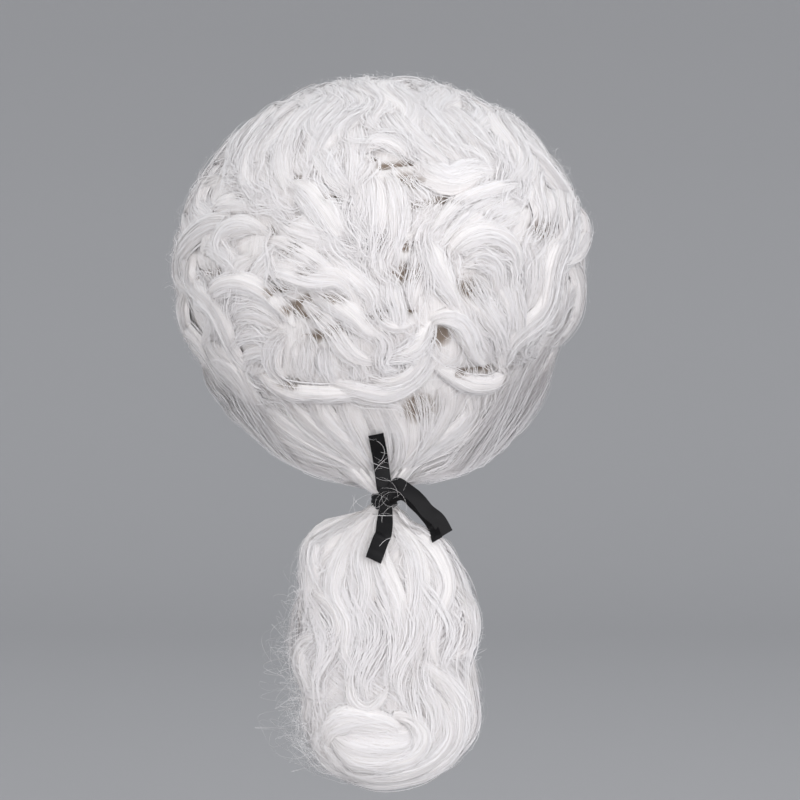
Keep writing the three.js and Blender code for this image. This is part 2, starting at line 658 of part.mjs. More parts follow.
/** The queue: a body with its locks. */
function queue() {
  const sections = QUEUE_FORM.map((cells) => {
    const row = named(QUEUE_COLUMNS, cells);
    const middle = queueMiddle(row.down);
    const sink = row.down > 0 ? LOCK_SINK / 2 : 0;
    return {
      x: middle.x,
      y: middle.y,
      z: middle.z,
      left: row.left * QUEUE_HALF_WIDTH - sink,
      right: row.right * QUEUE_HALF_WIDTH - sink,
      thick: row.thick * QUEUE_HALF_DEPTH - sink,
    };
  });
  const locks = QUEUE_LOCKS.map((cells) => {
    const row = named(QUEUE_LOCK_COLUMNS, cells);
    const flat = (across, down) => new THREE.Vector2(across * QUEUE_HALF_WIDTH, -down * QUEUE_LENGTH);
    const way = lockWay(flat(row.across, row.down), flat(row.toAcross, row.toDown), row);
    const places = way.map((at) => queuePlace(at.x / QUEUE_HALF_WIDTH, -at.y / QUEUE_LENGTH, row.face));
    return lockSolid(places, row.width * LOCK_WIDTH, row.rise * QUEUE_LOCK_RISE);
  });
  const whole = wasm.Manifold.union([lofted(sections, ROOT_SIDES), ...locks]);
  return whole.intersect(levelBlock(-KNOT_DROP - SEAT_GAP, false));
}

/** How far back the hair's outer form lies at a place. */
function hairFace(x, z) {
  const { turn, share } = placeBehind(x, z);
  return formPoint(turn, share).y - (LOCK_RISE - LOCK_SINK);
}

/** How far back the queue's face lies at a place. */
function queueFace(x, z) {
  const down = (-KNOT_DROP - z) / QUEUE_LENGTH;
  return queuePlace((x - KNOT_X) / QUEUE_HALF_WIDTH, down, 1).point.y - (LOCK_RISE - LOCK_SINK);
}

/** How far back the winding lies. */
const windingFace = () => KNOT_Y - ROOT_DEPTH / 2 - SEAT_GAP - RIBBON_THICKNESS;

/** A ribbon strip along a table's places. Spare makes it larger all round, for the room it needs. */
function ribbonStrip(rows, face, spare) {
  const places = rows.map((cells) => {
    const row = named(STRIP_COLUMNS, cells);
    const x = KNOT_X + row.right * RIBBON_WIDTH;
    const z = -KNOT_DROP + row.up * RIBBON_WIDTH;
    const y = Math.min(face(x, z), windingFace()) - row.lift * RIBBON_WIDTH;
    return { point: new THREE.Vector3(x, y, z), twist: rad(row.twist) };
  });
  const curve = new THREE.CatmullRomCurve3(places.map((place) => place.point));
  const twists = new THREE.CatmullRomCurve3(places.map((place) => new THREE.Vector3(place.twist, 0, 0)));
  const strip = new THREE.BoxGeometry(1, 1, 1, 1, STRIP_STEPS * (rows.length - 1), 1);
  const away = new THREE.Vector3(0, -1, 0);
  const extra = spare / curve.getLength();
  return outwardSolid(
    placed(strip, (corner) => {
      const share = THREE.MathUtils.clamp(0.5 - corner.y, 0, 1);
      const tangent = curve.getTangent(share);
      const side = tangent.clone().cross(away).normalize();
      const twisted = side.applyAxisAngle(tangent, twists.getPoint(share).x);
      const normal = twisted.clone().cross(tangent).normalize();
      return curve
        .getPoint(share)
        .addScaledVector(tangent, (share - 0.5) * 2 * extra * curve.getLength())
        .addScaledVector(twisted, corner.x * (RIBBON_WIDTH + 2 * spare))
        .addScaledVector(normal, corner.z * (RIBBON_THICKNESS + 2 * spare));
    }),
  );
}

/** The ribbon wound round the root, as a ring, or with spare the room that it lies in. */
function ribbonWrap(spare, depth) {
  const low = -RIBBON_WIDTH / 2 - spare;
  const high = RIBBON_WIDTH / 2 + spare;
  const near = SEAT_GAP - spare;
  const far = SEAT_GAP + depth + spare;
  const profile = [
    new THREE.Vector2(near, low),
    new THREE.Vector2(far, low),
    new THREE.Vector2(far, high),
    new THREE.Vector2(near, high),
    new THREE.Vector2(near, low),
  ];
  const ring = new THREE.LatheGeometry(profile, WINDING_SIDES);
  return outwardSolid(
    placed(ring, (_, corner) => {
      const cell = profile[corner % profile.length];
      const turn = (Math.floor(corner / profile.length) / WINDING_SIDES) * 2 * Math.PI;
      return new THREE.Vector3(
        KNOT_X + (ROOT_WIDTH / 2 + cell.x) * Math.sin(turn),
        KNOT_Y - (ROOT_DEPTH / 2 + cell.x) * Math.cos(turn),
        -KNOT_DROP + cell.y,
      );
    }),
  );
}

/** The knot on the winding, or with spare the room that it lies in. */
function ribbonKnot(spare) {
  const lump = new THREE.SphereGeometry(1, WINDING_SIDES, KNOT_ROWS);
  lump.scale(KNOT_WIDTH / 2 + spare, KNOT_DEPTH / 2 + spare, KNOT_HEIGHT / 2 + spare);
  lump.translate(KNOT_X, windingFace() - SEAT_GAP - KNOT_DEPTH / 3, -KNOT_DROP);
  return toSolid(lump);
}

/** The ribbon's pieces, each cut to clear the ones that it lies over. */
function ribbonPieces() {
  const wrap = ribbonWrap(0, RIBBON_THICKNESS);
  const knot = ribbonKnot(0).subtract(ribbonWrap(SEAT_GAP, RIBBON_THICKNESS));
  const rooms = [ribbonWrap(SEAT_GAP, RIBBON_THICKNESS), ribbonKnot(SEAT_GAP)];
  const pieces = { ribbon_wrap: wrap, ribbon_knot: knot };
  const strips = {
    ribbon_tail_up: [TAIL_UP, hairFace],
    ribbon_tail_down: [TAIL_DOWN, queueFace],
    ribbon_loop: [SIDE_LOOP, windingFace],
  };
  for (const [name, [rows, face]] of Object.entries(strips)) {
    pieces[name] = ribbonStrip(rows, face, 0).subtract(wasm.Manifold.union(rooms));
    rooms.push(ribbonStrip(rows, face, SEAT_GAP));
  }
  return { pieces, rooms };
}

const FINISHES = {
  cap: { color: 0xb9a488, roughness: 0.9, metalness: 0 },
  hair: { color: 0xe6e5e4, roughness: 0.55, metalness: 0 },
  ribbon: { color: 0x1a181a, roughness: 0.35, metalness: 0 },
};

/** The geometry of a solid's largest body. */
function geometryOf(solid) {
  const { vertProperties, triVerts } = largest(solid).getMesh();
  const geometry = new THREE.BufferGeometry();
  geometry.setAttribute("position", new THREE.BufferAttribute(vertProperties, 3));
  geometry.setIndex(new THREE.BufferAttribute(triVerts, 1));
  return geometry;
}

/** Moves every corner to the nearest point of a fine grid, so that no two lie almost in one. */
function onGrid(geometry) {
  return placed(geometry, (point) => point.divideScalar(CORNER_GRID).round().multiplyScalar(CORNER_GRID));
}

/** A named mesh of a solid, with its corners on the grid and no crumb left on it. */
function meshOf(name, solid, finish) {
  const geometry = geometryOf(toSolid(onGrid(geometryOf(solid))));
  geometry.computeVertexNormals();
  const mesh = new THREE.Mesh(geometry, new THREE.MeshStandardMaterial(finish));
  mesh.name = name;
  return mesh;
}

/** The whole wig. */
function powderedWig() {
  const ribbon = ribbonPieces();
  const collar = ribbonWrap(SEAT_GAP, RIBBON_WIDTH);
  const rooms = wasm.Manifold.union([...ribbon.rooms, collar]);
  const hair = { ...hairPieces(hairMass()), queue: queue() };
  const wig = new THREE.Group();
  wig.add(meshOf("wig_cap", wigCap(), FINISHES.cap));
  for (const [name, solid] of Object.entries(hair)) {
    wig.add(meshOf(name, solid.subtract(rooms), FINISHES.hair));
  }
  for (const [name, solid] of Object.entries(ribbon.pieces)) {
    wig.add(meshOf(name, solid, FINISHES.ribbon));
  }
  return wig;
}

export default powderedWig();
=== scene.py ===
"""A white powdered wig, waved all round and tied in a queue with a black ribbon.

The hair is built as the real one is: locks of fine strands lie over an underlayer of combed
strands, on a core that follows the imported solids. The back is charted lock by lock. The sides,
the front and the top are combed by one seeded flow. Metres, +Z up. The wearer faces +Y.
"""

import logging
import math
from dataclasses import dataclass, field
from enum import Enum

import bpy
import numpy as np
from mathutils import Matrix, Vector, kdtree
from mathutils.bvhtree import BVHTree

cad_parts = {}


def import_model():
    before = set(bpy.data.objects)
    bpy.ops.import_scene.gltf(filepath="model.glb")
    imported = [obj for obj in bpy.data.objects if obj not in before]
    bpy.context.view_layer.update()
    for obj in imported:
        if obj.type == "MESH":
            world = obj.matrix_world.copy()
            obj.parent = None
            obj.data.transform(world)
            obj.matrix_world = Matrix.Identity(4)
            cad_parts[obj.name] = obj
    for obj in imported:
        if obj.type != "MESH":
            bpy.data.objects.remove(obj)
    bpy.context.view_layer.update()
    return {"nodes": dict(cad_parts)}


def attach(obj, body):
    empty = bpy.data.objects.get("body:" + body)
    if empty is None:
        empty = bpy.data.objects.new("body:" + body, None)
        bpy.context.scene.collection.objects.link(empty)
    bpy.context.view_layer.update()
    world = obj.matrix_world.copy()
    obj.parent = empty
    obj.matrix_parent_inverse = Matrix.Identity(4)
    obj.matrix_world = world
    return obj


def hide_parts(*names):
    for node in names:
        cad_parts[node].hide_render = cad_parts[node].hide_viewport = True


LOG = logging.getLogger("wig")
MM = 0.001
Array = np.ndarray

# Head and cap sizes
HEAD_WIDTH = 0.152
HEAD_DEPTH = 0.192
HEAD_DOME = 0.096
CAP_DROP_FRONT = 0.044
CAP_DROP_EAR = 0.088
CAP_DROP_NAPE = 0.160
NAPE_TAPER = 0.29
EAR_TAPER = 0.1

# Hair sizes
HAIR_RISE = 0.058
HAIR_HEIGHT = 0.302
HAIR_HALF_WIDTH = 0.150
HAIR_BACK = 0.150
HAIR_FRONT = 0.122

# Ribbon and queue sizes
RIBBON_WIDTH = 0.0105
KNOT = (0.003, -0.084, -0.243)
ROOT_WIDTH = 0.016
ROOT_DEPTH = 0.014
QUEUE_LENGTH = 0.191
QUEUE_HALF_WIDTH = 0.062
QUEUE_HALF_DEPTH = 0.028
QUEUE_SWING = 0.016
QUEUE_SWING_ANGLE = 112.5
QUEUE_WAVE = 0.07

# The view that the back is charted in
VIEW_DISTANCE = 1.9
VIEW_X = 0.0137
VIEW_Z = -0.174
VIEW_WIDTH = 0.576

# How far a strand is shaded by its own tilt, and how deep the core lies under the form
SHADE_TILT = 0.2
CORE_DEPTH = 0.007

# Where the hair is parted into its pieces
CROWN_HALF_ANGLE = 60
CROWN_TIP_DROP = 0.042
FRONT_TURN = 118
SIDE_TURN = 52
NAPE_DROP = 0.172

# Where the locks of the sides start, as shares of the way from the crown to the hem, the length of
# their waves, and how low they reach
SIDE_ROWS = (0.3, 0.45, 0.6, 0.74, 0.88, 0.98)
SIDE_WAVE = 0.078
SIDE_LOW = 0.94

# The hair's outer form from the crown to the hem, as shares of its height and reach. The columns are
# sideDrop, left, right, backDrop, back, frontDrop and front.
FORM = (
    (0.0, 0.0, 0.0, 0.0, 0.0, 0.0, 0.0),
    (0.006, 0.15, 0.15, 0.006, 0.14, 0.005, 0.17),
    (0.022, 0.3, 0.31, 0.028, 0.3, 0.018, 0.35),
    (0.056, 0.46, 0.48, 0.068, 0.47, 0.038, 0.53),
    (0.105, 0.61, 0.65, 0.125, 0.645, 0.066, 0.7),
    (0.175, 0.765, 0.8, 0.195, 0.8, 0.1, 0.86),
    (0.26, 0.885, 0.91, 0.28, 0.915, 0.143, 0.965),
    (0.36, 0.96, 0.985, 0.38, 0.985, 0.19, 1.0),
    (0.47, 1.0, 0.98, 0.5, 1.0, 0.235, 0.985),
    (0.575, 0.965, 0.94, 0.62, 0.955, 0.272, 0.935),
    (0.66, 0.885, 0.83, 0.74, 0.86, 0.303, 0.865),
    (0.725, 0.81, 0.775, 0.86, 0.7, 0.326, 0.79),
    (0.765, 0.755, 0.74, 0.97, 0.53, 0.342, 0.72),
)

# The queue's sections: down, left, right and thick, as shares of its length, half width and half depth
QUEUE_FORM = (
    (0.0, 0.13, 0.13, 0.25),
    (0.035, 0.22, 0.16, 0.3),
    (0.083, 0.55, 0.28, 0.42),
    (0.137, 0.84, 0.58, 0.56),
    (0.21, 0.91, 0.79, 0.7),
    (0.317, 0.94, 0.945, 0.86),
    (0.44, 0.985, 1.05, 0.97),
    (0.586, 1.0, 1.0, 1.0),
    (0.68, 0.9, 1.03, 0.98),
    (0.784, 0.93, 1.055, 0.95),
    (0.892, 0.8, 0.89, 0.82),
    (0.964, 0.545, 0.62, 0.56),
    (1.0, 0.15, 0.2, 0.22),
)

# The locks of the back, charted as seen from behind. Each has its width and rise in millimetres, its
# lift above the form, and its way: across and down, as shares of the half width and the height.
BACK_LOCKS = (
    (30, 6, 0, ((0.0, 0.03), (-0.14, 0.06), (-0.28, 0.12), (-0.36, 0.2))),
    (28, 6, 0, ((-0.06, 0.02), (-0.24, 0.04), (-0.42, 0.1), (-0.5, 0.19), (-0.47, 0.27))),
    (26, 7, 1, ((-0.22, 0.03), (-0.4, 0.055), (-0.56, 0.12), (-0.655, 0.2), (-0.64, 0.27), (-0.57, 0.3))),
    (20, 5, -1, ((-0.12, 0.05), (-0.13, 0.12), (-0.12, 0.18), (-0.13, 0.26), (-0.1, 0.34))),
    (22, 6, 2.5, ((-0.36, 0.045), (-0.5, 0.065), (-0.6, 0.11), (-0.7, 0.17), (-0.78, 0.24))),
    (24, 6, 2, ((-0.56, 0.1), (-0.7, 0.14), (-0.83, 0.19), (-0.9, 0.235))),
    (22, 6, 0, ((-0.7, 0.155), (-0.82, 0.2), (-0.885, 0.27), (-0.86, 0.34))),
    (20, 6, 3, ((-0.8, 0.22), (-0.9, 0.28), (-0.95, 0.345), (-0.93, 0.4))),
    (18, 6, 3.5, ((-0.7, 0.33), (-0.82, 0.34), (-0.93, 0.385), (-0.985, 0.44), (-0.97, 0.5), (-0.9, 0.515))),
    (16, 6, 2, ((-0.56, 0.37), (-0.66, 0.345), (-0.76, 0.36), (-0.8, 0.41), (-0.75, 0.445), (-0.68, 0.43))),
    (24, 7, 2, ((-0.47, 0.235), (-0.38, 0.26), (-0.28, 0.315), (-0.21, 0.37), (-0.13, 0.42))),
    (18, 5, 0, ((-0.34, 0.14), (-0.28, 0.19), (-0.22, 0.235), (-0.12, 0.27))),
    (24, 5, 0, ((-0.58, 0.3), (-0.44, 0.35), (-0.28, 0.375), (-0.12, 0.4), (0.0, 0.44))),
    (22, 6, 1, ((-0.62, 0.385), (-0.5, 0.4), (-0.36, 0.44), (-0.22, 0.49), (-0.1, 0.53))),
    (20, 7, 2, ((-0.64, 0.455), (-0.5, 0.455), (-0.34, 0.475), (-0.19, 0.485), (-0.13, 0.52), (-0.12, 0.57))),
    (18, 7, 2, ((-0.9, 0.56), (-0.83, 0.515), (-0.72, 0.49), (-0.6, 0.505), (-0.51, 0.545), (-0.435, 0.6))),
    (16, 6, 2, ((-0.4, 0.54), (-0.33, 0.565), (-0.25, 0.6), (-0.19, 0.645), (-0.12, 0.675), (-0.01, 0.69))),
    (20, 6, 1, ((-0.38, 0.5), (-0.24, 0.535), (-0.14, 0.57), (-0.06, 0.61), (0.03, 0.635))),
    (24, 6, 2.5, ((-0.98, 0.5), (-0.965, 0.56), (-0.93, 0.62), (-0.87, 0.66))),
    (16, 5, 0, ((-0.84, 0.6), (-0.86, 0.64), (-0.85, 0.685), (-0.8, 0.73))),
    (10, 5, 3, ((-0.84, 0.74), (-0.86, 0.7), (-0.81, 0.675), (-0.74, 0.685), (-0.68, 0.72), (-0.645, 0.765),
                (-0.66, 0.8))),
    (14, 4, -1, ((-0.5, 0.62), (-0.58, 0.58), (-0.68, 0.57), (-0.78, 0.6))),
    (14, 4, -1, ((-0.49, 0.64), (-0.6, 0.62), (-0.7, 0.63), (-0.8, 0.67))),
    (14, 4, -1, ((-0.49, 0.67), (-0.6, 0.665), (-0.68, 0.68), (-0.74, 0.71))),
    (14, 4, 0, ((-0.48, 0.61), (-0.54, 0.56), (-0.64, 0.535), (-0.76, 0.56), (-0.83, 0.61))),
    (18, 5, 0, ((-0.5, 0.6), (-0.545, 0.65), (-0.54, 0.7), (-0.48, 0.745))),
    (20, 4, -1, ((-0.4, 0.62), (-0.39, 0.66), (-0.385, 0.71), (-0.36, 0.745))),
    (20, 4, -1, ((-0.28, 0.64), (-0.27, 0.68), (-0.25, 0.72), (-0.22, 0.75))),
    (14, 4, -1, ((-0.12, 0.68), (-0.11, 0.71), (-0.1, 0.745))),
    (14, 7, 2, ((-0.66, 0.7), (-0.56, 0.735), (-0.44, 0.757), (-0.28, 0.762), (-0.1, 0.757), (0.04, 0.752),
                (0.12, 0.738))),
    (16, 7, 2, ((-0.3, 0.735), (-0.14, 0.75), (0.02, 0.765), (0.14, 0.745), (0.24, 0.7), (0.27, 0.65))),
    (16, 6, 1, ((-0.1, 0.73), (0.0, 0.74), (0.1, 0.73), (0.18, 0.7), (0.22, 0.66), (0.22, 0.6))),
    (14, 6, 2, ((0.56, 0.68), (0.62, 0.705), (0.55, 0.735), (0.44, 0.738), (0.34, 0.715), (0.25, 0.69))),
    (16, 5, 1, ((0.28, 0.575), (0.24, 0.61), (0.2, 0.645), (0.12, 0.67), (0.03, 0.68))),
    (16, 6, 2, ((0.24, 0.6), (0.29, 0.578), (0.37, 0.583), (0.43, 0.62), (0.47, 0.665), (0.53, 0.7))),
    (20, 5, 0, ((0.36, 0.5), (0.38, 0.55), (0.42, 0.6), (0.5, 0.65), (0.58, 0.69))),
    (20, 6, 1, ((0.42, 0.46), (0.47, 0.52), (0.54, 0.57), (0.6, 0.62), (0.64, 0.67), (0.72, 0.665))),
    (22, 6, 1, ((0.6, 0.45), (0.64, 0.51), (0.67, 0.57), (0.69, 0.62), (0.74, 0.655))),
    (24, 7, 3, ((0.93, 0.4), (0.96, 0.47), (0.95, 0.55), (0.9, 0.62), (0.8, 0.64), (0.755, 0.625))),
    (22, 6, 0, ((0.8, 0.42), (0.84, 0.49), (0.84, 0.56), (0.8, 0.61))),
    (24, 6, 0, ((0.72, 0.36), (0.75, 0.43), (0.76, 0.5), (0.74, 0.57))),
    (26, 6, 0, ((0.2, 0.03), (0.34, 0.07), (0.47, 0.125), (0.57, 0.19), (0.62, 0.23))),
    (26, 6, 0, ((0.06, 0.02), (0.18, 0.06), (0.3, 0.12), (0.4, 0.18), (0.47, 0.225))),
    (24, 6, 0, ((0.0, 0.03), (0.07, 0.09), (0.16, 0.14), (0.27, 0.18), (0.36, 0.215))),
    (26, 6, 2.5, ((0.42, 0.045), (0.58, 0.085), (0.7, 0.14), (0.8, 0.2), (0.86, 0.26))),
    (22, 7, 3, ((0.56, 0.1), (0.72, 0.165), (0.84, 0.235), (0.93, 0.3), (0.97, 0.36))),
    (20, 6, 1, ((0.3, 0.03), (0.44, 0.05), (0.57, 0.09), (0.68, 0.14))),
    (12, 6, 2, ((-0.11, 0.175), (-0.06, 0.148), (0.02, 0.142), (0.1, 0.155), (0.17, 0.18))),
    (18, 6, 1, ((-0.06, 0.19), (-0.03, 0.26), (-0.02, 0.34), (-0.03, 0.42), (0.0, 0.49))),
    (18, 6, 1, ((0.02, 0.2), (0.07, 0.25), (0.09, 0.32), (0.07, 0.4), (0.03, 0.47))),
    (16, 5, 0, ((-0.13, 0.2), (-0.1, 0.28), (-0.1, 0.36), (-0.12, 0.44))),
    (26, 8, 2, ((0.2, 0.165), (0.24, 0.21), (0.33, 0.235), (0.46, 0.215), (0.6, 0.205))),
    (12, 6, 2, ((0.77, 0.243), (0.66, 0.245), (0.54, 0.26), (0.4, 0.285), (0.31, 0.325), (0.24, 0.37))),
    (10, 5, 1, ((0.66, 0.275), (0.54, 0.295), (0.42, 0.33), (0.33, 0.375), (0.29, 0.41))),
    (24, 6, 0, ((0.74, 0.28), (0.62, 0.31), (0.52, 0.345), (0.42, 0.375), (0.36, 0.41))),
    (14, 6, 2, ((0.76, 0.235), (0.82, 0.27), (0.84, 0.33), (0.82, 0.39), (0.76, 0.42))),
    (12, 6, 2, ((0.84, 0.26), (0.895, 0.3), (0.905, 0.36), (0.87, 0.405), (0.8, 0.42))),
    (16, 7, 4, ((0.93, 0.28), (0.985, 0.33), (0.985, 0.385), (0.94, 0.43), (0.85, 0.45))),
    (20, 8, 2, ((0.33, 0.44), (0.4, 0.39), (0.5, 0.37), (0.6, 0.385), (0.665, 0.43), (0.66, 0.49))),
    (16, 6, 1, ((0.4, 0.455), (0.47, 0.43), (0.55, 0.44), (0.59, 0.48), (0.58, 0.53))),
    (20, 7, 1, ((0.22, 0.36), (0.25, 0.42), (0.31, 0.48), (0.37, 0.53), (0.4, 0.58))),
    (14, 5, 0, ((0.18, 0.36), (0.12, 0.38), (0.1, 0.42), (0.09, 0.47))),
    (16, 5, 0, ((0.19, 0.38), (0.2, 0.44), (0.17, 0.5), (0.16, 0.56))),
    (16, 5, 1, ((0.46, 0.46), (0.5, 0.51), (0.52, 0.56), (0.56, 0.61))),
    (18, 5, 0, ((0.05, 0.46), (0.05, 0.52), (0.08, 0.58), (0.07, 0.63))),
    (16, 5, 0, ((-0.05, 0.48), (-0.04, 0.54), (0.01, 0.585), (0.1, 0.6), (0.18, 0.59))),
    (18, 5, 0, ((-0.3, 0.4), (-0.22, 0.45), (-0.1, 0.5), (-0.02, 0.55), (-0.01, 0.6))),
    (18, 5, 0, ((-0.86, 0.34), (-0.8, 0.3), (-0.7, 0.29), (-0.6, 0.31))),
    (18, 5, 0, ((-0.92, 0.42), (-0.86, 0.4), (-0.78, 0.42), (-0.72, 0.46), (-0.74, 0.51))),
    (16, 5, 1, ((-0.6, 0.42), (-0.68, 0.44), (-0.74, 0.48), (-0.8, 0.52), (-0.84, 0.57))),
    (18, 5, 0, ((-0.45, 0.38), (-0.52, 0.42), (-0.6, 0.46), (-0.68, 0.5))),
)

# The locks of the nape, in the same columns. Each goes on from its way to the knot.
NAPE_LOCKS = (
    (22, 5, 0, ((0.64, 0.67), (0.75, 0.7), (0.765, 0.75), (0.7, 0.81), (0.55, 0.865), (0.36, 0.905),
                (0.14, 0.955))),
    (20, 5, 0, ((0.58, 0.73), (0.62, 0.77), (0.55, 0.82), (0.4, 0.87), (0.2, 0.93))),
    (18, 5, 0, ((0.46, 0.745), (0.47, 0.79), (0.4, 0.84), (0.27, 0.89), (0.12, 0.95))),
    (18, 5, 0, ((0.34, 0.73), (0.34, 0.78), (0.29, 0.84), (0.2, 0.9), (0.08, 0.96))),
    (16, 5, 1, ((0.22, 0.74), (0.24, 0.8), (0.22, 0.86), (0.14, 0.92), (0.06, 0.965))),
    (16, 5, 1, ((0.12, 0.76), (0.17, 0.82), (0.17, 0.88), (0.11, 0.94), (0.05, 0.97))),
    (16, 4, 0, ((0.0, 0.775), (0.07, 0.82), (0.11, 0.88), (0.09, 0.93), (0.04, 0.97))),
    (14, 4, -1, ((-0.08, 0.775), (-0.02, 0.82), (0.02, 0.88), (0.02, 0.94))),
    (18, 4, 0, ((-0.2, 0.77), (-0.14, 0.83), (-0.08, 0.89), (-0.02, 0.95))),
    (20, 5, 1, ((-0.36, 0.77), (-0.28, 0.82), (-0.17, 0.88), (-0.06, 0.95))),
    (20, 5, 0, ((-0.5, 0.77), (-0.4, 0.82), (-0.26, 0.88), (-0.09, 0.95))),
    (20, 5, 0, ((-0.64, 0.76), (-0.54, 0.815), (-0.38, 0.87), (-0.2, 0.92), (-0.06, 0.965))),
    (20, 5, 0, ((-0.76, 0.73), (-0.68, 0.79), (-0.54, 0.85), (-0.36, 0.9), (-0.16, 0.945))),
    (18, 4, -1, ((-0.8, 0.71), (-0.74, 0.78), (-0.62, 0.845), (-0.44, 0.9), (-0.24, 0.935))),
)

# The locks of the queue, in the same columns: across and down are shares of its half width and length
QUEUE_LOCKS = (
    (20, 5, 0, ((-0.05, 0.02), (-0.545, 0.067), (-0.765, 0.11), (-0.865, 0.192), (-0.82, 0.282),
                (-0.655, 0.353))),
    (16, 4, 0, ((-0.6, 0.1), (-0.9, 0.16), (-0.95, 0.25), (-0.96, 0.36), (-0.9, 0.42))),
    (18, 5, 0, ((-0.85, 0.318), (-0.545, 0.389), (-0.52, 0.46), (-0.69, 0.497), (-0.8, 0.56))),
    (18, 5, 0, ((-0.7, 0.47), (-0.93, 0.504), (-0.98, 0.593), (-0.876, 0.683), (-0.6, 0.665),
                (-0.58, 0.604))),
    (10, 4, 0, ((-0.86, 0.56), (-0.95, 0.63), (-0.86, 0.7), (-0.92, 0.76), (-1.14, 0.796))),
    (16, 5, 0, ((0.97, 0.827), (0.78, 0.899), (0.5, 0.953), (0.167, 0.985), (-0.194, 0.99), (-0.556, 0.953),
                (-0.79, 0.881), (-0.86, 0.791))),
    (18, 6, 1, ((0.278, 0.602), (0.389, 0.638), (0.62, 0.719), (0.7, 0.809), (0.556, 0.89), (0.25, 0.944),
                (-0.139, 0.962), (-0.472, 0.926), (-0.667, 0.863), (-0.694, 0.782))),
    (44, 9, 0, ((-0.62, 0.8), (-0.35, 0.835), (-0.05, 0.85), (0.25, 0.84), (0.5, 0.8))),
    (18, 6, 3, ((0.1, 0.745), (0.34, 0.77), (0.42, 0.82), (0.36, 0.875), (0.1, 0.915), (-0.2, 0.92),
                (-0.45, 0.88))),
    (22, 6, 3, ((-0.66, 0.86), (-0.58, 0.8), (-0.38, 0.765), (-0.1, 0.775), (0.12, 0.8), (0.2, 0.845))),
    (20, 5, 1, ((-0.05, 0.05), (-0.08, 0.192), (0.12, 0.371), (0.12, 0.55), (0.17, 0.683))),
    (20, 5, 0, ((-0.12, 0.05), (-0.27, 0.192), (-0.21, 0.3), (-0.27, 0.425), (-0.21, 0.532), (-0.32, 0.604))),
    (20, 5, 0, ((-0.2, 0.06), (-0.49, 0.217), (-0.545, 0.325), (-0.41, 0.425), (-0.43, 0.532), (-0.3, 0.604),
                (-0.21, 0.694))),
    (18, 5, 0, ((0.05, 0.03), (0.5, 0.146), (0.834, 0.217), (0.966, 0.325), (1.0, 0.443), (0.91, 0.532))),
    (20, 5, 0, ((0.02, 0.04), (0.34, 0.192), (0.39, 0.3), (0.34, 0.425), (0.34, 0.532), (0.4, 0.64))),
    (20, 5, 1, ((0.04, 0.04), (0.56, 0.192), (0.67, 0.3), (0.56, 0.407), (0.525, 0.515), (0.67, 0.604))),
    (16, 5, 1, ((0.78, 0.282), (0.966, 0.371), (1.0, 0.461), (0.89, 0.54), (0.67, 0.55))),
    (18, 6, 1, ((0.34, 0.55), (0.56, 0.604), (0.78, 0.683), (0.834, 0.783), (0.72, 0.89), (0.39, 0.962),
                (0.06, 0.98))),
    (16, 6, 1, ((0.28, 0.622), (0.5, 0.694), (0.56, 0.783), (0.5, 0.862), (0.28, 0.934))),
    (14, 4, 0, ((0.8, 0.54), (1.0, 0.622), (1.04, 0.73), (1.0, 0.837), (0.834, 0.926), (0.5, 0.962))),
    (10, 5, 1, ((-0.32, 0.586), (-0.38, 0.64), (-0.32, 0.71), (-0.19, 0.73), (-0.03, 0.694), (0.06, 0.63))),
)

# Gaps between the locks, where the net cap shows, painted darker as shade: across, down, half across, half down
# and slant
GAPS = (
    (0.08, 0.183, 0.085, 0.014, -8),
    (-0.07, 0.17, 0.03, 0.012, 0),
    (0.15, 0.225, 0.03, 0.025, 20),
    (0.23, 0.283, 0.1, 0.012, -10),
    (0.44, 0.305, 0.17, 0.009, 24),
    (0.66, 0.243, 0.07, 0.008, 4),
    (0.72, 0.285, 0.03, 0.01, 0),
    (0.82, 0.36, 0.022, 0.035, -6),
    (0.16, 0.4, 0.035, 0.02, 0),
    (0.13, 0.465, 0.028, 0.035, 0),
    (0.485, 0.44, 0.035, 0.007, 0),
    (0.45, 0.5, 0.02, 0.035, 18),
    (-0.205, 0.27, 0.06, 0.016, -8),
    (-0.42, 0.216, 0.06, 0.008, 0),
    (-0.66, 0.275, 0.055, 0.014, -12),
    (-0.49, 0.335, 0.07, 0.02, -30),
    (-0.08, 0.39, 0.06, 0.03, 0),
    (-0.455, 0.41, 0.03, 0.018, -30),
    (-0.365, 0.46, 0.035, 0.012, -20),
    (-0.87, 0.463, 0.045, 0.014, -20),
    (-0.52, 0.507, 0.04, 0.014, -20),
    (-0.435, 0.55, 0.04, 0.02, -30),
    (-0.35, 0.573, 0.05, 0.013, -10),
    (-0.29, 0.525, 0.09, 0.014, 4),
    (-0.3, 0.62, 0.1, 0.02, -25),
    (-0.01, 0.57, 0.04, 0.02, -30),
    (0.14, 0.562, 0.025, 0.012, 0),
    (0.305, 0.625, 0.012, 0.035, 0),
    (0.48, 0.712, 0.09, 0.013, -4),
    (0.2, 0.8, 0.012, 0.05, 12),
    (-0.47, 0.742, 0.035, 0.01, 0),
    (-0.345, 0.785, 0.03, 0.015, -25),
    (-0.735, 0.762, 0.028, 0.022, -35),
    (-0.93, 0.53, 0.015, 0.015, 0),
)


class Region(Enum):
    """The hair's pieces round the head, by the node that each stands for."""

    CROWN = "crown_hair"
    FRONT = "front_hair"
    LEFT = "left_side_hair"
    RIGHT = "right_side_hair"
    BACK = "back_hair"
    NAPE = "nape_hair"


def unit(vectors: Array) -> Array:
    """Scales vectors to length one."""
    length = np.linalg.norm(vectors, axis=-1, keepdims=True)
    return vectors / np.maximum(length, 1e-12)


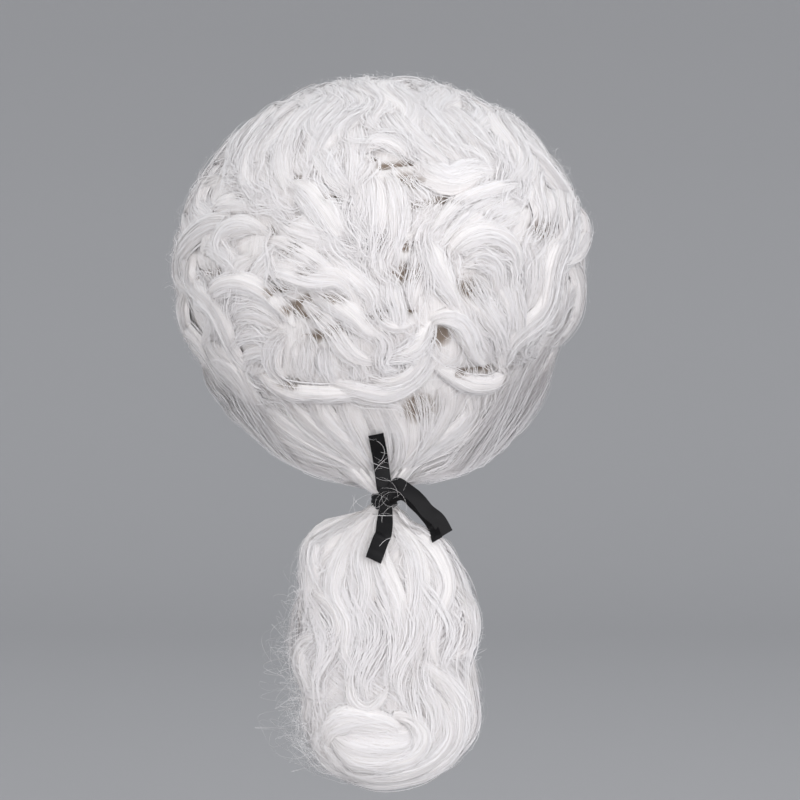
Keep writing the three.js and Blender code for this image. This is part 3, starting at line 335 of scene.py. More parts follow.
def smooth_rows(stations: Array, rows: Array, at: Array) -> Array:
    """Reads a table along a smooth curve through its rows.

    Args:
        stations: The rows' places, rising.
        rows: The table, one row for each place.
        at: The places to read, of any shape.

    Returns:
        The columns at each place, as a last axis.
    """
    stations, rows = np.asarray(stations, float), np.asarray(rows, float)
    at = np.clip(at, stations[0], stations[-1])
    k = np.clip(np.searchsorted(stations, at, side="right") - 1, 0, len(stations) - 2)
    slopes = np.gradient(rows, stations, axis=0)
    gap = (stations[k + 1] - stations[k])[..., None]
    t = (at - stations[k])[..., None] / gap
    low, high = rows[k], rows[k + 1]
    return (
        (1 + 2 * t) * (1 - t) ** 2 * low
        + t * (1 - t) ** 2 * gap * slopes[k]
        + t**2 * (3 - 2 * t) * high
        + t**2 * (t - 1) * gap * slopes[k + 1]
    )


def smooth_way(points: Array, count: int) -> Array:
    """Spaces places evenly along a smooth curve through a few points.

    Args:
        points: The points of the way, one a row.
        count: How many places to return.

    Returns:
        The places, one a row.
    """
    points = np.asarray(points, float)
    steps = np.linalg.norm(np.diff(points, axis=0), axis=1)
    stations = np.concatenate([[0], np.cumsum(np.maximum(steps, 1e-9))])
    fine = smooth_rows(stations, points, np.linspace(0, stations[-1], 8 * count))
    run = np.concatenate([[0], np.cumsum(np.linalg.norm(np.diff(fine, axis=0), axis=1))])
    wanted = np.linspace(0, run[-1], count)
    return np.stack([np.interp(wanted, run, fine[:, k]) for k in range(points.shape[1])], axis=1)


@dataclass(frozen=True)
class HairForm:
    """The outer form of the hair round the head, read from its table."""

    table: tuple = FORM

    def reaches(self, turn: Array, share: Array) -> tuple[Array, Array, Array]:
        """The half width, the reach and the drop of the form at a turn and a share.

        Args:
            turn: Where round the head, in radians.
            share: Where between the crown and the hem.

        Returns:
            The half width, the reach and the drop.
        """
        rows = smooth_rows(np.linspace(0, 1, len(self.table)), self.table, share)
        behind = np.cos(turn) > 0
        side = np.sin(turn) ** 2
        width = np.where(np.sin(turn) > 0, rows[..., 2], rows[..., 1]) * HAIR_HALF_WIDTH
        reach = np.where(behind, rows[..., 4] * HAIR_BACK, rows[..., 6] * HAIR_FRONT)
        middle = np.where(behind, rows[..., 3], rows[..., 5])
        return width, reach, middle + (rows[..., 0] - middle) * side

    def point(self, turn: Array, share: Array) -> Array:
        """A place on the form: share 0 is the crown and 1 the hem, turn 0 the middle of the back.

        Args:
            turn: Where round the head, in radians.
            share: Where between the crown and the hem.

        Returns:
            The places.
        """
        turn, share = np.broadcast_arrays(np.asarray(turn, float), np.asarray(share, float))
        width, reach, drop = self.reaches(turn, share)
        return np.stack(
            [width * np.sin(turn), -reach * np.cos(turn), HAIR_RISE - drop * HAIR_HEIGHT], axis=-1
        )

    def slopes(self, turn: Array, share: Array) -> tuple[Array, Array]:
        """The form's change for each radian of turn, and for each unit of share.

        Args:
            turn: Where round the head, in radians.
            share: Where between the crown and the hem.

        Returns:
            The change round the head and the change down it.
        """
        step = 0.01
        at = np.clip(share, 3 * step, 1 - step)
        round_way = (self.point(turn + step, at) - self.point(turn - step, at)) / (2 * step)
        down_way = (self.point(turn, at + step) - self.point(turn, at - step)) / (2 * step)
        return round_way, down_way

    def normal(self, turn: Array, share: Array) -> Array:
        """The outward direction of the form."""
        round_way, down_way = self.slopes(turn, share)
        return unit(np.cross(down_way, round_way))

    def behind(self, x: Array, z: Array) -> tuple[Array, Array]:
        """The turn and share at which the form's back has a width and a level.

        Args:
            x: Places across.
            z: Levels.

        Returns:
            The turns and the shares.
        """
        turn, share = np.zeros_like(x), np.full_like(x, 0.5)
        for _ in range(30):
            rows = smooth_rows(np.linspace(0, 1, len(self.table)), self.table, share)
            width = np.maximum(np.where(x > 0, rows[..., 2], rows[..., 1]) * HAIR_HALF_WIDTH, MM)
            want = np.arcsin(np.clip(x / width, -0.985, 0.985))
            slip = (self.point(turn, share)[..., 2] - z) / HAIR_HEIGHT
            turn = turn + 0.6 * (want - turn)
            share = np.clip(share + 0.6 * slip, 0.02, 1)
        return turn, share

    def seat(self, across: Array, down: Array) -> tuple[Array, Array]:
        """The turn and share that show at places across and down, seen from behind.

        Args:
            across: Shares of the half width.
            down: Shares of the hair's height.

        Returns:
            The turns and the shares.
        """
        eye = np.array([VIEW_X, -VIEW_DISTANCE, VIEW_Z])
        aim = np.stack(
            [across * HAIR_HALF_WIDTH, np.zeros_like(across), HAIR_RISE - down * HAIR_HEIGHT], axis=-1
        )
        turn, share = self.behind(aim[..., 0], aim[..., 2])
        for _ in range(3):
            near = ((VIEW_DISTANCE + self.point(turn, share)[..., 1]) / VIEW_DISTANCE)[..., None]
            want = eye + (aim - eye) * near
            turn, share = self.behind(want[..., 0], want[..., 2])
        return turn, share


@dataclass(frozen=True)
class QueueForm:
    """The outer form of the queue, read from its table."""

    table: tuple = QUEUE_FORM

    def middle(self, down: Array) -> Array:
        """The middle of the queue at a share of its length.

        Args:
            down: The share of the queue's length.

        Returns:
            The places.
        """
        down = np.asarray(down, float)
        swing = QUEUE_SWING * np.sin(np.clip(down, 0, 1) * math.radians(QUEUE_SWING_ANGLE))
        return np.stack(
            [np.full_like(down, KNOT[0]), KNOT[1] - swing, KNOT[2] - 0.0003 - down * QUEUE_LENGTH], axis=-1
        )

    def point(self, round_turn: Array, down: Array, sink: float = 0.0) -> tuple[Array, Array]:
        """A place on the queue and its outward direction, where turn 0 faces away from the neck.

        Args:
            round_turn: The turn round the queue, in radians.
            down: The share of its length.
            sink: How far in from the form.

        Returns:
            The places and the outward directions.
        """
        round_turn, down = np.broadcast_arrays(np.asarray(round_turn, float), np.asarray(down, float))
        rows = smooth_rows(np.array(self.table)[:, 0], self.table, down)
        reach = np.where(np.sin(round_turn) > 0, rows[..., 2], rows[..., 1]) * QUEUE_HALF_WIDTH - sink
        thick = rows[..., 3] * QUEUE_HALF_DEPTH - sink
        reach, thick = np.maximum(reach, MM), np.maximum(thick, MM)
        flat = np.stack(
            [reach * np.sin(round_turn), -thick * np.cos(round_turn), np.zeros_like(reach)], axis=-1
        )
        outward = np.stack(
            [np.sin(round_turn) / reach, -np.cos(round_turn) / thick, np.zeros_like(reach)], axis=-1
        )
        return self.middle(down) + flat, unit(outward)

    def seat(self, across: Array, down: Array) -> Array:
        """The turn that shows at places across the queue, seen from behind.

        Args:
            across: Shares of the half width.
            down: Shares of the length.

        Returns:
            The turns, in radians.
        """
        rows = smooth_rows(np.array(self.table)[:, 0], self.table, down)
        reach = np.where(across > 0, rows[..., 2], rows[..., 1])
        return np.arcsin(np.clip(across / reach, -0.97, 0.97))


@dataclass
class Strands:
    """Strands gathered for one piece, each a flat strip along its own line."""

    lines: list = field(default_factory=list)
    faces: list = field(default_factory=list)
    shades: list = field(default_factory=list)
    radii: list = field(default_factory=list)
    tones: list = field(default_factory=list)

    def add(self, comb: "Comb") -> None:
        """Takes the strands of a comb.

        Args:
            comb: The strands.
        """
        if len(comb.lines):
            self.lines.append(comb.lines)
            self.faces.append(comb.facing)
            self.shades.append(comb.shading)
            self.radii.append(comb.radius)
            self.tones.append(comb.tone)

    def triangles(self) -> int:
        """How many triangles the strips have."""
        return sum(2 * len(line) * (line.shape[1] - 1) for line in self.lines)

    def build(self, name: str) -> bpy.types.Object:
        """Builds one mesh of all the strips, with their tone and a map with a cell for each strand.

        Args:
            name: The piece's name.

        Returns:
            The piece, linked into the scene.
        """
        total = sum(len(line) for line in self.lines)
        columns = max(1, math.ceil(math.sqrt(total)))
        corners, quads, maps, tones, alongs, facing = [], [], [], [], [], []
        first, strand = 0, 0
        gathered = zip(self.lines, self.faces, self.shades, self.radii, self.tones)
        for lines, outward, shade, radius, tone in gathered:
            count, steps = lines.shape[0], lines.shape[1]
            t = np.linspace(0, 1, steps)
            along = unit(np.gradient(lines, axis=1))
            side = unit(np.cross(along, outward))
            taper = np.clip(0.5 + 4 * t, 0, 1) * np.clip(1.08 - t**5, 0.08, 1)
            half = side * (radius[:, None] * taper[None, :])[..., None]
            corners.append(np.stack([lines - half, lines + half], axis=2).reshape(-1, 3))
            base = first + (np.arange(count)[:, None] * steps + np.arange(steps - 1)[None, :]) * 2
            quads.append(np.stack([base, base + 1, base + 3, base + 2], axis=-1).reshape(-1, 4))
            cell = strand + np.arange(count)
            u = (cell % columns)[:, None, None] + 0.15 + 0.7 * np.array([0.0, 1.0])[None, None, :]
            v = (cell // columns)[:, None, None] + 0.08 + 0.84 * t[None, :, None]
            shape = (count, steps, 2)
            cells = [np.broadcast_to(u, shape), np.broadcast_to(v, shape)]
            maps.append(np.stack(cells, axis=-1).reshape(-1, 2))
            tones.append(np.broadcast_to(tone[:, None, None], shape).reshape(-1))
            alongs.append(np.broadcast_to(t[None, :, None], shape).reshape(-1))
            facing.append(np.repeat(shade.reshape(-1, 3), 2, axis=0))
            first += count * steps * 2
            strand += count
        return mesh_object(
            name,
            np.concatenate(corners),
            np.concatenate(quads),
            np.concatenate(maps) / columns,
            {"tone": np.concatenate(tones), "along": np.concatenate(alongs)},
            np.concatenate(facing),
        )


def mesh_object(
    name: str,
    corners: Array,
    quads: Array,
    places: Array,
    values: dict[str, Array],
    facing: Array | None = None,
) -> bpy.types.Object:
    """Builds a smooth mesh of four-sided faces from arrays.

    Args:
        name: The object's name.
        corners: The corners, one a row.
        quads: Four corners for each face.
        places: Each corner's place on the mesh's map.
        values: Named numbers, one for each corner, or three for each.
        facing: The way that each corner is shaded, if not by its faces.

    Returns:
        The object, linked into the scene.
    """
    mesh = bpy.data.meshes.new(name)
    mesh.vertices.add(len(corners))
    mesh.vertices.foreach_set("co", np.ascontiguousarray(corners, np.float32).ravel())
    mesh.loops.add(quads.size)
    mesh.loops.foreach_set("vertex_index", np.ascontiguousarray(quads, np.int32).ravel())
    mesh.polygons.add(len(quads))
    mesh.polygons.foreach_set("loop_start", np.arange(0, quads.size, 4, dtype=np.int32))
    mesh.polygons.foreach_set("use_smooth", np.ones(len(quads), bool))
    layer = mesh.uv_layers.new(name="OFBake")
    layer.data.foreach_set("uv", np.ascontiguousarray(places[quads.ravel()], np.float32).ravel())
    for key, numbers in values.items():
        threes = numbers.ndim == 2
        attribute = mesh.attributes.new(key, "FLOAT_VECTOR" if threes else "FLOAT", "POINT")
        flat = np.ascontiguousarray(numbers, np.float32).ravel()
        attribute.data.foreach_set("vector" if threes else "value", flat)
    mesh.update(calc_edges=True)
    if facing is not None:
        mesh.normals_split_custom_set_from_vertices(np.ascontiguousarray(facing, np.float32))
    obj = bpy.data.objects.new(name, mesh)
    bpy.context.scene.collection.objects.link(obj)
    return obj


@dataclass
class Comb:
    """Strands as they are combed: places by strand and step, and how each strip lies and is shaded."""

    lines: Array
    facing: Array
    shading: Array
    radius: Array
    tone: Array

    def only(self, chosen: Array) -> "Comb":
        """The chosen strands."""
        return Comb(self.lines[chosen], self.facing[chosen], self.shading[chosen], self.radius[chosen],
                    self.tone[chosen])


def laid(lines: Array, normals: Array, tilt: Array, radius: Array, tone: Array) -> Comb:
    """Lays strips along lines, each turned a little about its line and shaded mostly as what it lies on.

    Args:
        lines: The strands' places by strand and step.
        normals: The outward direction at each place.
        tilt: How far each strip is turned about its line, in radians.
        radius: Half the strips' widths.
        tone: Each strand's tone, from 0 to 1.

    Returns:
        The strands, ready to be gathered.
    """
    side = unit(np.cross(unit(np.gradient(lines, axis=1)), normals))
    facing = normals * np.cos(tilt)[..., None] + side * np.sin(tilt)[..., None]
    return Comb(lines, facing, unit(normals + SHADE_TILT * (facing - normals)), radius, tone)


@dataclass
class Lock:
    """A lock of strands along a way that lies on a form, over a body of its own."""

    points: Array
    normals: Array
    width: float
    rise: float
    gathered: bool = False
    density: float = 3.6
    clumped: bool = True
    grooves: Array = field(default_factory=lambda: np.zeros((3, 4)))

    def turning(self) -> Array:
        """How sharply the way turns toward its side at each place, for each metre.

        Returns:
            The bend at each place, signed.
        """
        step = np.linalg.norm(np.gradient(self.points, axis=0), axis=1)
        along = unit(np.gradient(self.points, axis=0))
        side = unit(np.cross(along, self.normals))
        return np.einsum("ij,ij->i", np.gradient(along, axis=0), side) / np.maximum(step, 1e-6)

    def length(self) -> float:
        """The length of the way."""
        return float(np.linalg.norm(np.diff(self.points, axis=0), axis=1).sum())

    def fullness(self, t: Array) -> Array:
        """The lock's width along it, as a share of the widest.

        Args:
            t: The share of the way.

        Returns:
            The width as a share.
        """
        if self.gathered:
            return 1 - 0.72 * t**1.6
        return np.clip(0.3 + 2.4 * t, 0, 1) * np.sqrt(np.clip(1 - t**2.6, 0.02, 1))

    def surface(self, t: Array, u: Array) -> tuple[Array, Array]:
        """A place on the lock's body and its outward direction.

        Args:
            t: The share of the way.
            u: The share of the half width, to the side.

        Returns:
            The places and the directions.
        """
        at = np.clip(t, 0, 1) * (len(self.points) - 1)
        low = np.clip(at.astype(int), 0, len(self.points) - 2)
        part = (at - low)[..., None]
        point = self.points[low] * (1 - part) + self.points[low + 1] * part
        normal = unit(self.normals[low] * (1 - part) + self.normals[low + 1] * part)
        along = unit(np.gradient(self.points, axis=0))
        along = unit(along[low] * (1 - part) + along[low + 1] * part)
        side = unit(np.cross(along, normal))
        full = self.fullness(t)
        half = self.width / 2 * full
        off = u * half
        bend = self.turning()[low]
        room = 0.8 / np.maximum(np.abs(bend), 1e-3)
        off = np.where(off * bend > 0, np.sign(off) * room * np.tanh(np.abs(off) / room), off)
        dome = np.sqrt(np.clip(1 - u**2, 0, 1))
        high = self.rise * full * dome - 1.8 * MM * np.abs(u) ** 5
        rate = -self.rise * full * u / np.maximum(dome, 0.4)
        for size, across, down, phase in self.grooves:
            wave = across * u + down * t + phase
            high = high + size * np.sin(wave) * dome
            rate = rate + size * across * np.cos(wave) * dome
        slope = np.clip(rate / np.maximum(half, MM), -1.3, 1.3)
        place = point + side * off[..., None] + normal * high[..., None]
        return place, unit(normal - 0.6 * side * slope[..., None])

    def comb(self, rng: np.random.Generator) -> Comb:
        """Combs the lock's strands over its body.

        Args:
            rng: The source of chance.

        Returns:
            The strands.
        """
        count = max(8, int(self.density * self.width / MM))
        steps = int(np.clip(self.length() / (8 * MM), 7, 20)) + 1
        clumps = max(3, int(count / 8)) if self.clumped else count
        centre = rng.uniform(-1, 1, clumps)
        member = rng.integers(0, clumps, count)
        begin = rng.uniform(0, 0.12, count)
        end = 1 - (0.02 if self.gathered else 0.24) * rng.random(count) ** 1.5
        t = begin[:, None] + (end - begin)[:, None] * np.linspace(0, 1, steps)[None, :]
        spread = rng.uniform(0.22, 0.5, clumps)[member][:, None] * (1.15 - 0.6 * t)
        u = centre[member][:, None] + rng.normal(0, 1, count)[:, None] * spread
        wander = rng.normal(0, 0.2, clumps)[member][:, None]
        pace = rng.uniform(2.5, 7, clumps)[member][:, None]
        u = u + wander * np.sin(pace * t + rng.uniform(0, 6.3, clumps)[member][:, None])
        stray = (rng.random(count) < 0.07)[:, None]
        u = u + np.where(stray, rng.normal(0, 0.55, count)[:, None] * t**1.5, 0)
        fine = rng.uniform(0.1, 0.4, count)[:, None] * MM
        turn = rng.uniform(5, 12, count)[:, None] * t * 2 + rng.uniform(0, 6.3, count)[:, None]
        points, normals = self.surface(t, np.clip(u, -1.12, 1.12))
        lift = rng.uniform(0.0, 1.1, count)[:, None] * MM + np.where(stray, 2.2 * MM * np.sin(t * 3.1), 0)
        side = unit(np.cross(unit(np.gradient(points, axis=1)), normals))
        lines = points + normals * (lift + 0.5 * fine * np.cos(turn))[..., None]
        lines = lines + side * (fine * np.sin(turn))[..., None]
        tone = np.clip(0.5 + 0.16 * rng.normal(0, 1, clumps)[member] + 0.16 * rng.normal(0, 1, count), 0, 1)
        tilt = rng.normal(0, 0.3, count)[:, None]
        return laid(lines, normals, tilt, rng.uniform(0.12, 0.27, count) * MM, tone)

    def body(self) -> tuple[Array, Array]:
        """The body under the strands: its places by row and column, and the grain along it.

        Returns:
            The places and the grain.
        """
        rows = int(np.clip(self.length() / (5 * MM), 12, 28))
        columns = int(np.clip(self.width / (2.3 * MM), 6, 14))
        t = np.linspace(0, 1, rows + 1)[:, None]
        u = np.linspace(-1, 1, columns + 1)[None, :]
        t, u = np.broadcast_arrays(t, u)
        points, _ = self.surface(t, np.sin(u * math.pi / 2))
        grain = np.stack([u * self.width / 2, t * self.length(), np.full(t.shape, self.width)], axis=-1)
        return points, grain


def random_grooves(rng: np.random.Generator, width: float) -> Array:
    """Chooses the ridges along a lock: size, waves across, waves down and phase.

    Args:
        rng: The source of chance.
        width: The lock's width.

    Returns:
        The ridges, one a row.
    """
    across = np.array([5.0, 9.0, 14.0]) * rng.uniform(0.8, 1.2, 3)
    size = np.array([0.62, 0.46, 0.26]) * rng.uniform(0.6, 1.2, 3) * MM * min(width / (20 * MM), 1)
    return np.stack([size, across, rng.normal(0, 1.6, 3), rng.uniform(0, 6.3, 3)], axis=1)


@dataclass
class Bodies:
    """The lock bodies and the core faces gathered for one piece."""

    corners: list = field(default_factory=list)
    quads: list = field(default_factory=list)
    grains: list = field(default_factory=list)
    gaps: list = field(default_factory=list)
    places: list = field(default_factory=list)
    count: int = 0
    cells: int = 0

    def add(self, corners: Array, quads: Array, grain: Array, gap: Array, places: Array) -> None:
        """Takes a mesh whose faces count its own corners from 0.

        Args:
            corners: The corners, one a row.
            quads: Four corners for each face.
            grain: Each corner across and along its lock.
            gap: How much of a gap each corner is in.
            places: Each corner's place on its own map.
        """
        self.corners.append(corners)
        self.quads.append(quads + self.count)
        self.grains.append(grain)
        self.gaps.append(gap)
        self.places.append((self.cells, places))
        self.count += len(corners)
        self.cells += 1

    def add_grid(self, points: Array, grain: Array, gap: Array) -> None:
        """Takes a body as a grid of places by row and column.

        Args:
            points: The places by row and column.
            grain: Each place across and along its lock.
            gap: How much of a gap each place is in.
        """
        rows, columns = points.shape[0], points.shape[1]
        index = np.arange(rows)[:, None] * columns + np.arange(columns)[None, :]
        quads = np.stack([index[:-1, :-1], index[:-1, 1:], index[1:, 1:], index[1:, :-1]], axis=-1)
        u, v = np.broadcast_arrays(np.linspace(0, 1, columns)[None, :], np.linspace(0, 1, rows)[:, None])
        places = np.stack([u, v], axis=-1).reshape(-1, 2)
        self.add(points.reshape(-1, 3), quads.reshape(-1, 4), grain.reshape(-1, 3), gap.ravel(), places)

    def build(self, name: str) -> bpy.types.Object:
        """Builds one mesh, whose map has the first part on its left half and a cell for each other.

        Args:
            name: The piece's name.

        Returns:
            The piece, linked into the scene.
        """
        side = max(1, math.ceil(math.sqrt(max(self.cells - 1, 1))))
        maps = []
        for cell, places in self.places:
            if cell == 0:
                maps.append(places * [0.49, 1])
            else:
                corner = np.array([(cell - 1) % side, (cell - 1) // side])
                maps.append(((corner + 0.04 + 0.92 * places) / side) * [0.49, 1] + [0.51, 0])
        return mesh_object(
            name,
            np.concatenate(self.corners),
            np.concatenate(self.quads),
            np.concatenate(maps),
            {"gap": np.concatenate(self.gaps), "grain": np.concatenate(self.grains) / MM},
        )


def region_of(points: Array) -> Array:
    """The index of the region that each point lies in, in the order of Region.

    Args:
        points: Places, with the axes last.

    Returns:
        The index of each place's region.
    """
    x, y, z = points[..., 0], points[..., 1], points[..., 2]
    turn = np.degrees(np.arctan2(x, -y))
    crown = np.hypot(x, y) < (z + CROWN_TIP_DROP) * math.tan(math.radians(CROWN_HALF_ANGLE))
    found = np.where(z < -NAPE_DROP, 5, 4)
    found = np.where(turn > SIDE_TURN, 3, found)
    found = np.where(turn < -SIDE_TURN, 2, found)
    found = np.where(np.abs(turn) > FRONT_TURN, 1, found)
    return np.where(crown, 0, found)


def pinch(points: Array) -> Array:
    """Draws places near the knot in, so that they pass through the ribbon's winding.

    Args:
        points: Places, with the axes last.

    Returns:
        The places, drawn in.
    """
    out = points - np.array(KNOT)
    reach = np.hypot(out[..., 0] / (ROOT_WIDTH / 2), out[..., 1] / (ROOT_DEPTH / 2))
    room = 0.9 + np.maximum(np.abs(out[..., 2]) - 5.5 * MM, 0) / (1.8 * MM)
    scale = np.minimum(1, room / np.maximum(reach, 1e-6))
    return np.array(KNOT) + out * np.stack([scale, scale, np.ones_like(scale)], axis=-1)


@dataclass
class HeadHair:
    """The hair round the head: a core, an underlayer, the locks and the flyaways."""

    form: HairForm = field(default_factory=HairForm)
    seed: int = 11
    bags: dict = field(default_factory=dict)
    bodies: dict = field(default_factory=dict)
    locks: list = field(default_factory=list)
    gap_tree: tuple | None = None
    flow: tuple = ()

    def __post_init__(self) -> None:
        """Starts an empty bag of strands and of bodies for each region."""
        self.rng = np.random.default_rng(self.seed)
        self.bags = {region: Strands() for region in Region}
        self.bodies = {region: Bodies() for region in Region}

    def take(self, comb: Comb, keep: float = 1.0) -> None:
        """Puts strands into the bag of the region that their middle lies in.

        Args:
            comb: The strands.
            keep: The share of strands that stays where they cross a gap.
        """
        gap = self.gap_at(comb.lines)
        comb.lines = pinch(comb.lines - comb.shading * (gap * 2.6 * MM)[..., None])
        comb = comb.only((gap.max(axis=1) < 0.5) | (self.rng.random(len(gap)) < keep))
        where = region_of(comb.lines[:, comb.lines.shape[1] // 2])
        for k, region in enumerate(Region):
            self.bags[region].add(comb.only(where == k))

    def gap_at(self, points: Array) -> Array:
        """How much of a gap each place is in, from 0 to 1.

        Args:
            points: Places on the form.

        Returns:
            The depth in a gap at each place.
        """
        if self.gap_tree is None:
            spots, reaches = [], []
            for across, down, half_across, half_down, slant in GAPS:
                t = np.linspace(-1, 1, 9)
                lean = math.radians(slant)
                x = across + t * half_across * math.cos(lean)
                z = down + t * half_across * math.sin(lean) * HAIR_HALF_WIDTH / HAIR_HEIGHT
                spots.append(self.form.point(*self.form.seat(x, z)))
                reaches.append(np.full(9, half_down * HAIR_HEIGHT * 0.85 + 0.6 * MM))
            self.gap_tree = (np.concatenate(spots), np.concatenate(reaches))
        spots, reaches = self.gap_tree
        found = np.zeros(points.shape[:-1])
        for spot, reach in zip(spots, reaches):
            far = np.linalg.norm(points - spot, axis=-1)
            found = np.maximum(found, np.clip(1.45 - far / reach, 0, 1))
        return found

    def lock_on(self, turn: Array, share: Array, cells: tuple, gathered: bool = False) -> Lock:
        """A lock along places on the form, lifted in its middle.

        Args:
            turn: The way's turns round the head, in radians.
            share: The way's shares.
            cells: The width, the rise and the lift, in millimetres.
            gathered: If the lock is drawn together to the knot.

        Returns:
            The lock.
        """
        width, rise, lift = cells
        normals = self.form.normal(turn, share)
        t = np.linspace(0, 1, len(turn))
        arch = (-8.4 + 3.8 * np.sin(math.pi * np.clip(t * 1.02, 0, 1)) ** 0.6 + 0.85 * lift) * MM
        arch = arch - 3.0 * MM * np.clip(1 - t / 0.22, 0, 1)
        points = self.form.point(turn, share) + normals * arch[:, None]
        grooves = random_grooves(self.rng, width * MM)
        return Lock(points, normals, width * MM, rise * 0.62 * MM, gathered, grooves=grooves)

    def chart(self) -> None:
        """Lays the locks that are charted as seen from behind."""
        for *cells, way in BACK_LOCKS:
            flat = smooth_way(np.array(way) * [1, HAIR_HEIGHT / HAIR_HALF_WIDTH], 30)
            turn, share = self.form.seat(flat[:, 0], flat[:, 1] * HAIR_HALF_WIDTH / HAIR_HEIGHT)
            self.locks.append(self.lock_on(turn, share, tuple(cells)))
        for *cells, way in NAPE_LOCKS:
            flat = smooth_way(np.array(way) * [1, HAIR_HEIGHT / HAIR_HALF_WIDTH], 30)
            turn, share = self.form.seat(flat[:, 0], flat[:, 1] * HAIR_HALF_WIDTH / HAIR_HEIGHT)
            lock = self.lock_on(turn, share, tuple(cells), gathered=True)
            start = lock.points[-1]
            lean = np.clip(flat[-3, 0] * 3, -1, 1)
            knot = np.array(KNOT) + [lean * ROOT_WIDTH * 0.4, -ROOT_DEPTH * 0.35 * math.cos(lean), 0.004]
            half_way = (start + knot) / 2 + [0, -0.002, 0.001]
            tail = smooth_way(np.stack([lock.points[-2], start, half_way, knot]), 10)
            lock.points = smooth_way(np.concatenate([lock.points[:-1], tail[2:]]), 34)
            spare = len(lock.points) - len(lock.normals)
            lock.normals = np.concatenate([lock.normals, np.repeat(lock.normals[-1:], spare, axis=0)])
            self.locks.append(lock)

    def comb_way(self, turn: float) -> tuple[float, float]:
        """The combing direction of the sides, front and top, as round and down shares.

        Args:
            turn: Where round the head, in radians.

        Returns:
            The direction's parts round the head and down it.
        """
        away = abs(math.degrees(turn))
        angle = math.radians(np.interp(away, [0, 52, 90, 118, 150, 180], [90, 58, 28, -4, -50, -90]))
        return -math.copysign(math.cos(angle), turn), math.sin(angle)

    def walk(self, turn: float, share: float, length: float, wave: float, curl: float) -> tuple[Array, Array]:
        """Walks a lock's way along the combing direction.

        Args:
            turn: Where it starts round the head, in radians.
            share: Where it starts between the crown and the hem.
            length: How long it is.
            wave: Where in its wave it starts, in radians.
            curl: How far its end turns on, in radians.

        Returns:
            The turns and the shares along the way.
        """
        steps = 30
        turns, shares = [turn], [share]
        pace = length / steps
        for k in range(steps):
            round_share, down_share = self.comb_way(turn)
            heading = math.atan2(down_share, round_share)
            gone = k / steps
            swing = 0.54 * math.sin(2 * math.pi * gone * length / SIDE_WAVE + wave)
            heading += swing + curl * max(gone - 0.6, 0) ** 2 / 0.16
            round_way, down_way = self.form.slopes(np.array(turn), np.array(share))
            turn += math.cos(heading) * pace / max(float(np.linalg.norm(round_way)), 0.02)
            share += math.sin(heading) * pace / max(float(np.linalg.norm(down_way)), 0.05)
            share = float(np.clip(share, 0.035, SIDE_LOW))
            turns.append(turn)
            shares.append(share)
        return np.array(turns), np.array(shares)

    def sides(self) -> None:
        """Lays the locks of the sides, the front and the top along the combing direction."""
        turns = [hand * turn for hand in (-1, 1) for turn in range(72, 181, 15)]
        starts = [(turn, share) for turn in turns for share in SIDE_ROWS]
        starts += [(turn, 0.07) for turn in range(-165, 180, 30)]
        starts += [(turn, 0.2) for turn in range(-170, 180, 24)]
        for turn, share in starts:
            jitter = self.rng.normal(0, 1, 4)
            away = abs(turn)
            if share > 0.18 and away < 66:
                continue
            first = math.radians(turn + 5 * jitter[0])
            start = (first, float(np.clip(share + 0.025 * jitter[1], 0.05, SIDE_LOW)))
            hand = math.copysign(1, turn)
            curl = hand * self.rng.uniform(0.4, 2.5) * (1 if self.rng.random() < 0.75 else -1) * (share > 0.4)
            wave = 2 * math.pi * (1.7 * share + 0.12 * jitter[2]) + (hand > 0) * 0.8
            turns, shares = self.walk(*start, self.rng.uniform(0.09, 0.145), wave, curl)
            cells = (self.rng.uniform(20, 38), self.rng.uniform(4.5, 7), self.rng.uniform(-0.6, 2.6))
            self.locks.append(self.lock_on(turns, shares, cells))
            self.locks[-1].density = 3.0

    def set_flow(self) -> None:
        """Works out the flow of the hair on a grid of turns and shares, from the locks near each place."""
        turns = np.radians(np.linspace(-180, 180, 121))
        shares = np.linspace(0.02, 1, 56)
        grid_turn, grid_share = np.meshgrid(turns, shares, indexing="ij")
        spots = np.concatenate([lock.points[::2] for lock in self.locks])
        ways = np.concatenate([unit(np.gradient(lock.points, axis=0))[::2] for lock in self.locks])
        tree = kdtree.KDTree(len(spots))
        for k, spot in enumerate(spots):
            tree.insert(Vector(spot), k)
        tree.balance()
        points = self.form.point(grid_turn, grid_share).reshape(-1, 3)
        chosen = np.zeros_like(points)
        for k, point in enumerate(points):
            for _, index, distance in tree.find_n(Vector(point), 14):
                chosen[k] += ways[index] * math.exp(-((distance / 0.02) ** 2))
        round_way, down_way = self.form.slopes(grid_turn.ravel(), grid_share.ravel())
        a = np.einsum("ij,ij->i", chosen, unit(round_way)).reshape(grid_turn.shape)
        b = np.einsum("ij,ij->i", chosen, unit(down_way)).reshape(grid_turn.shape)
        size = np.maximum(np.hypot(a, b), 1e-9)
        self.flow = (a / size, b / size)

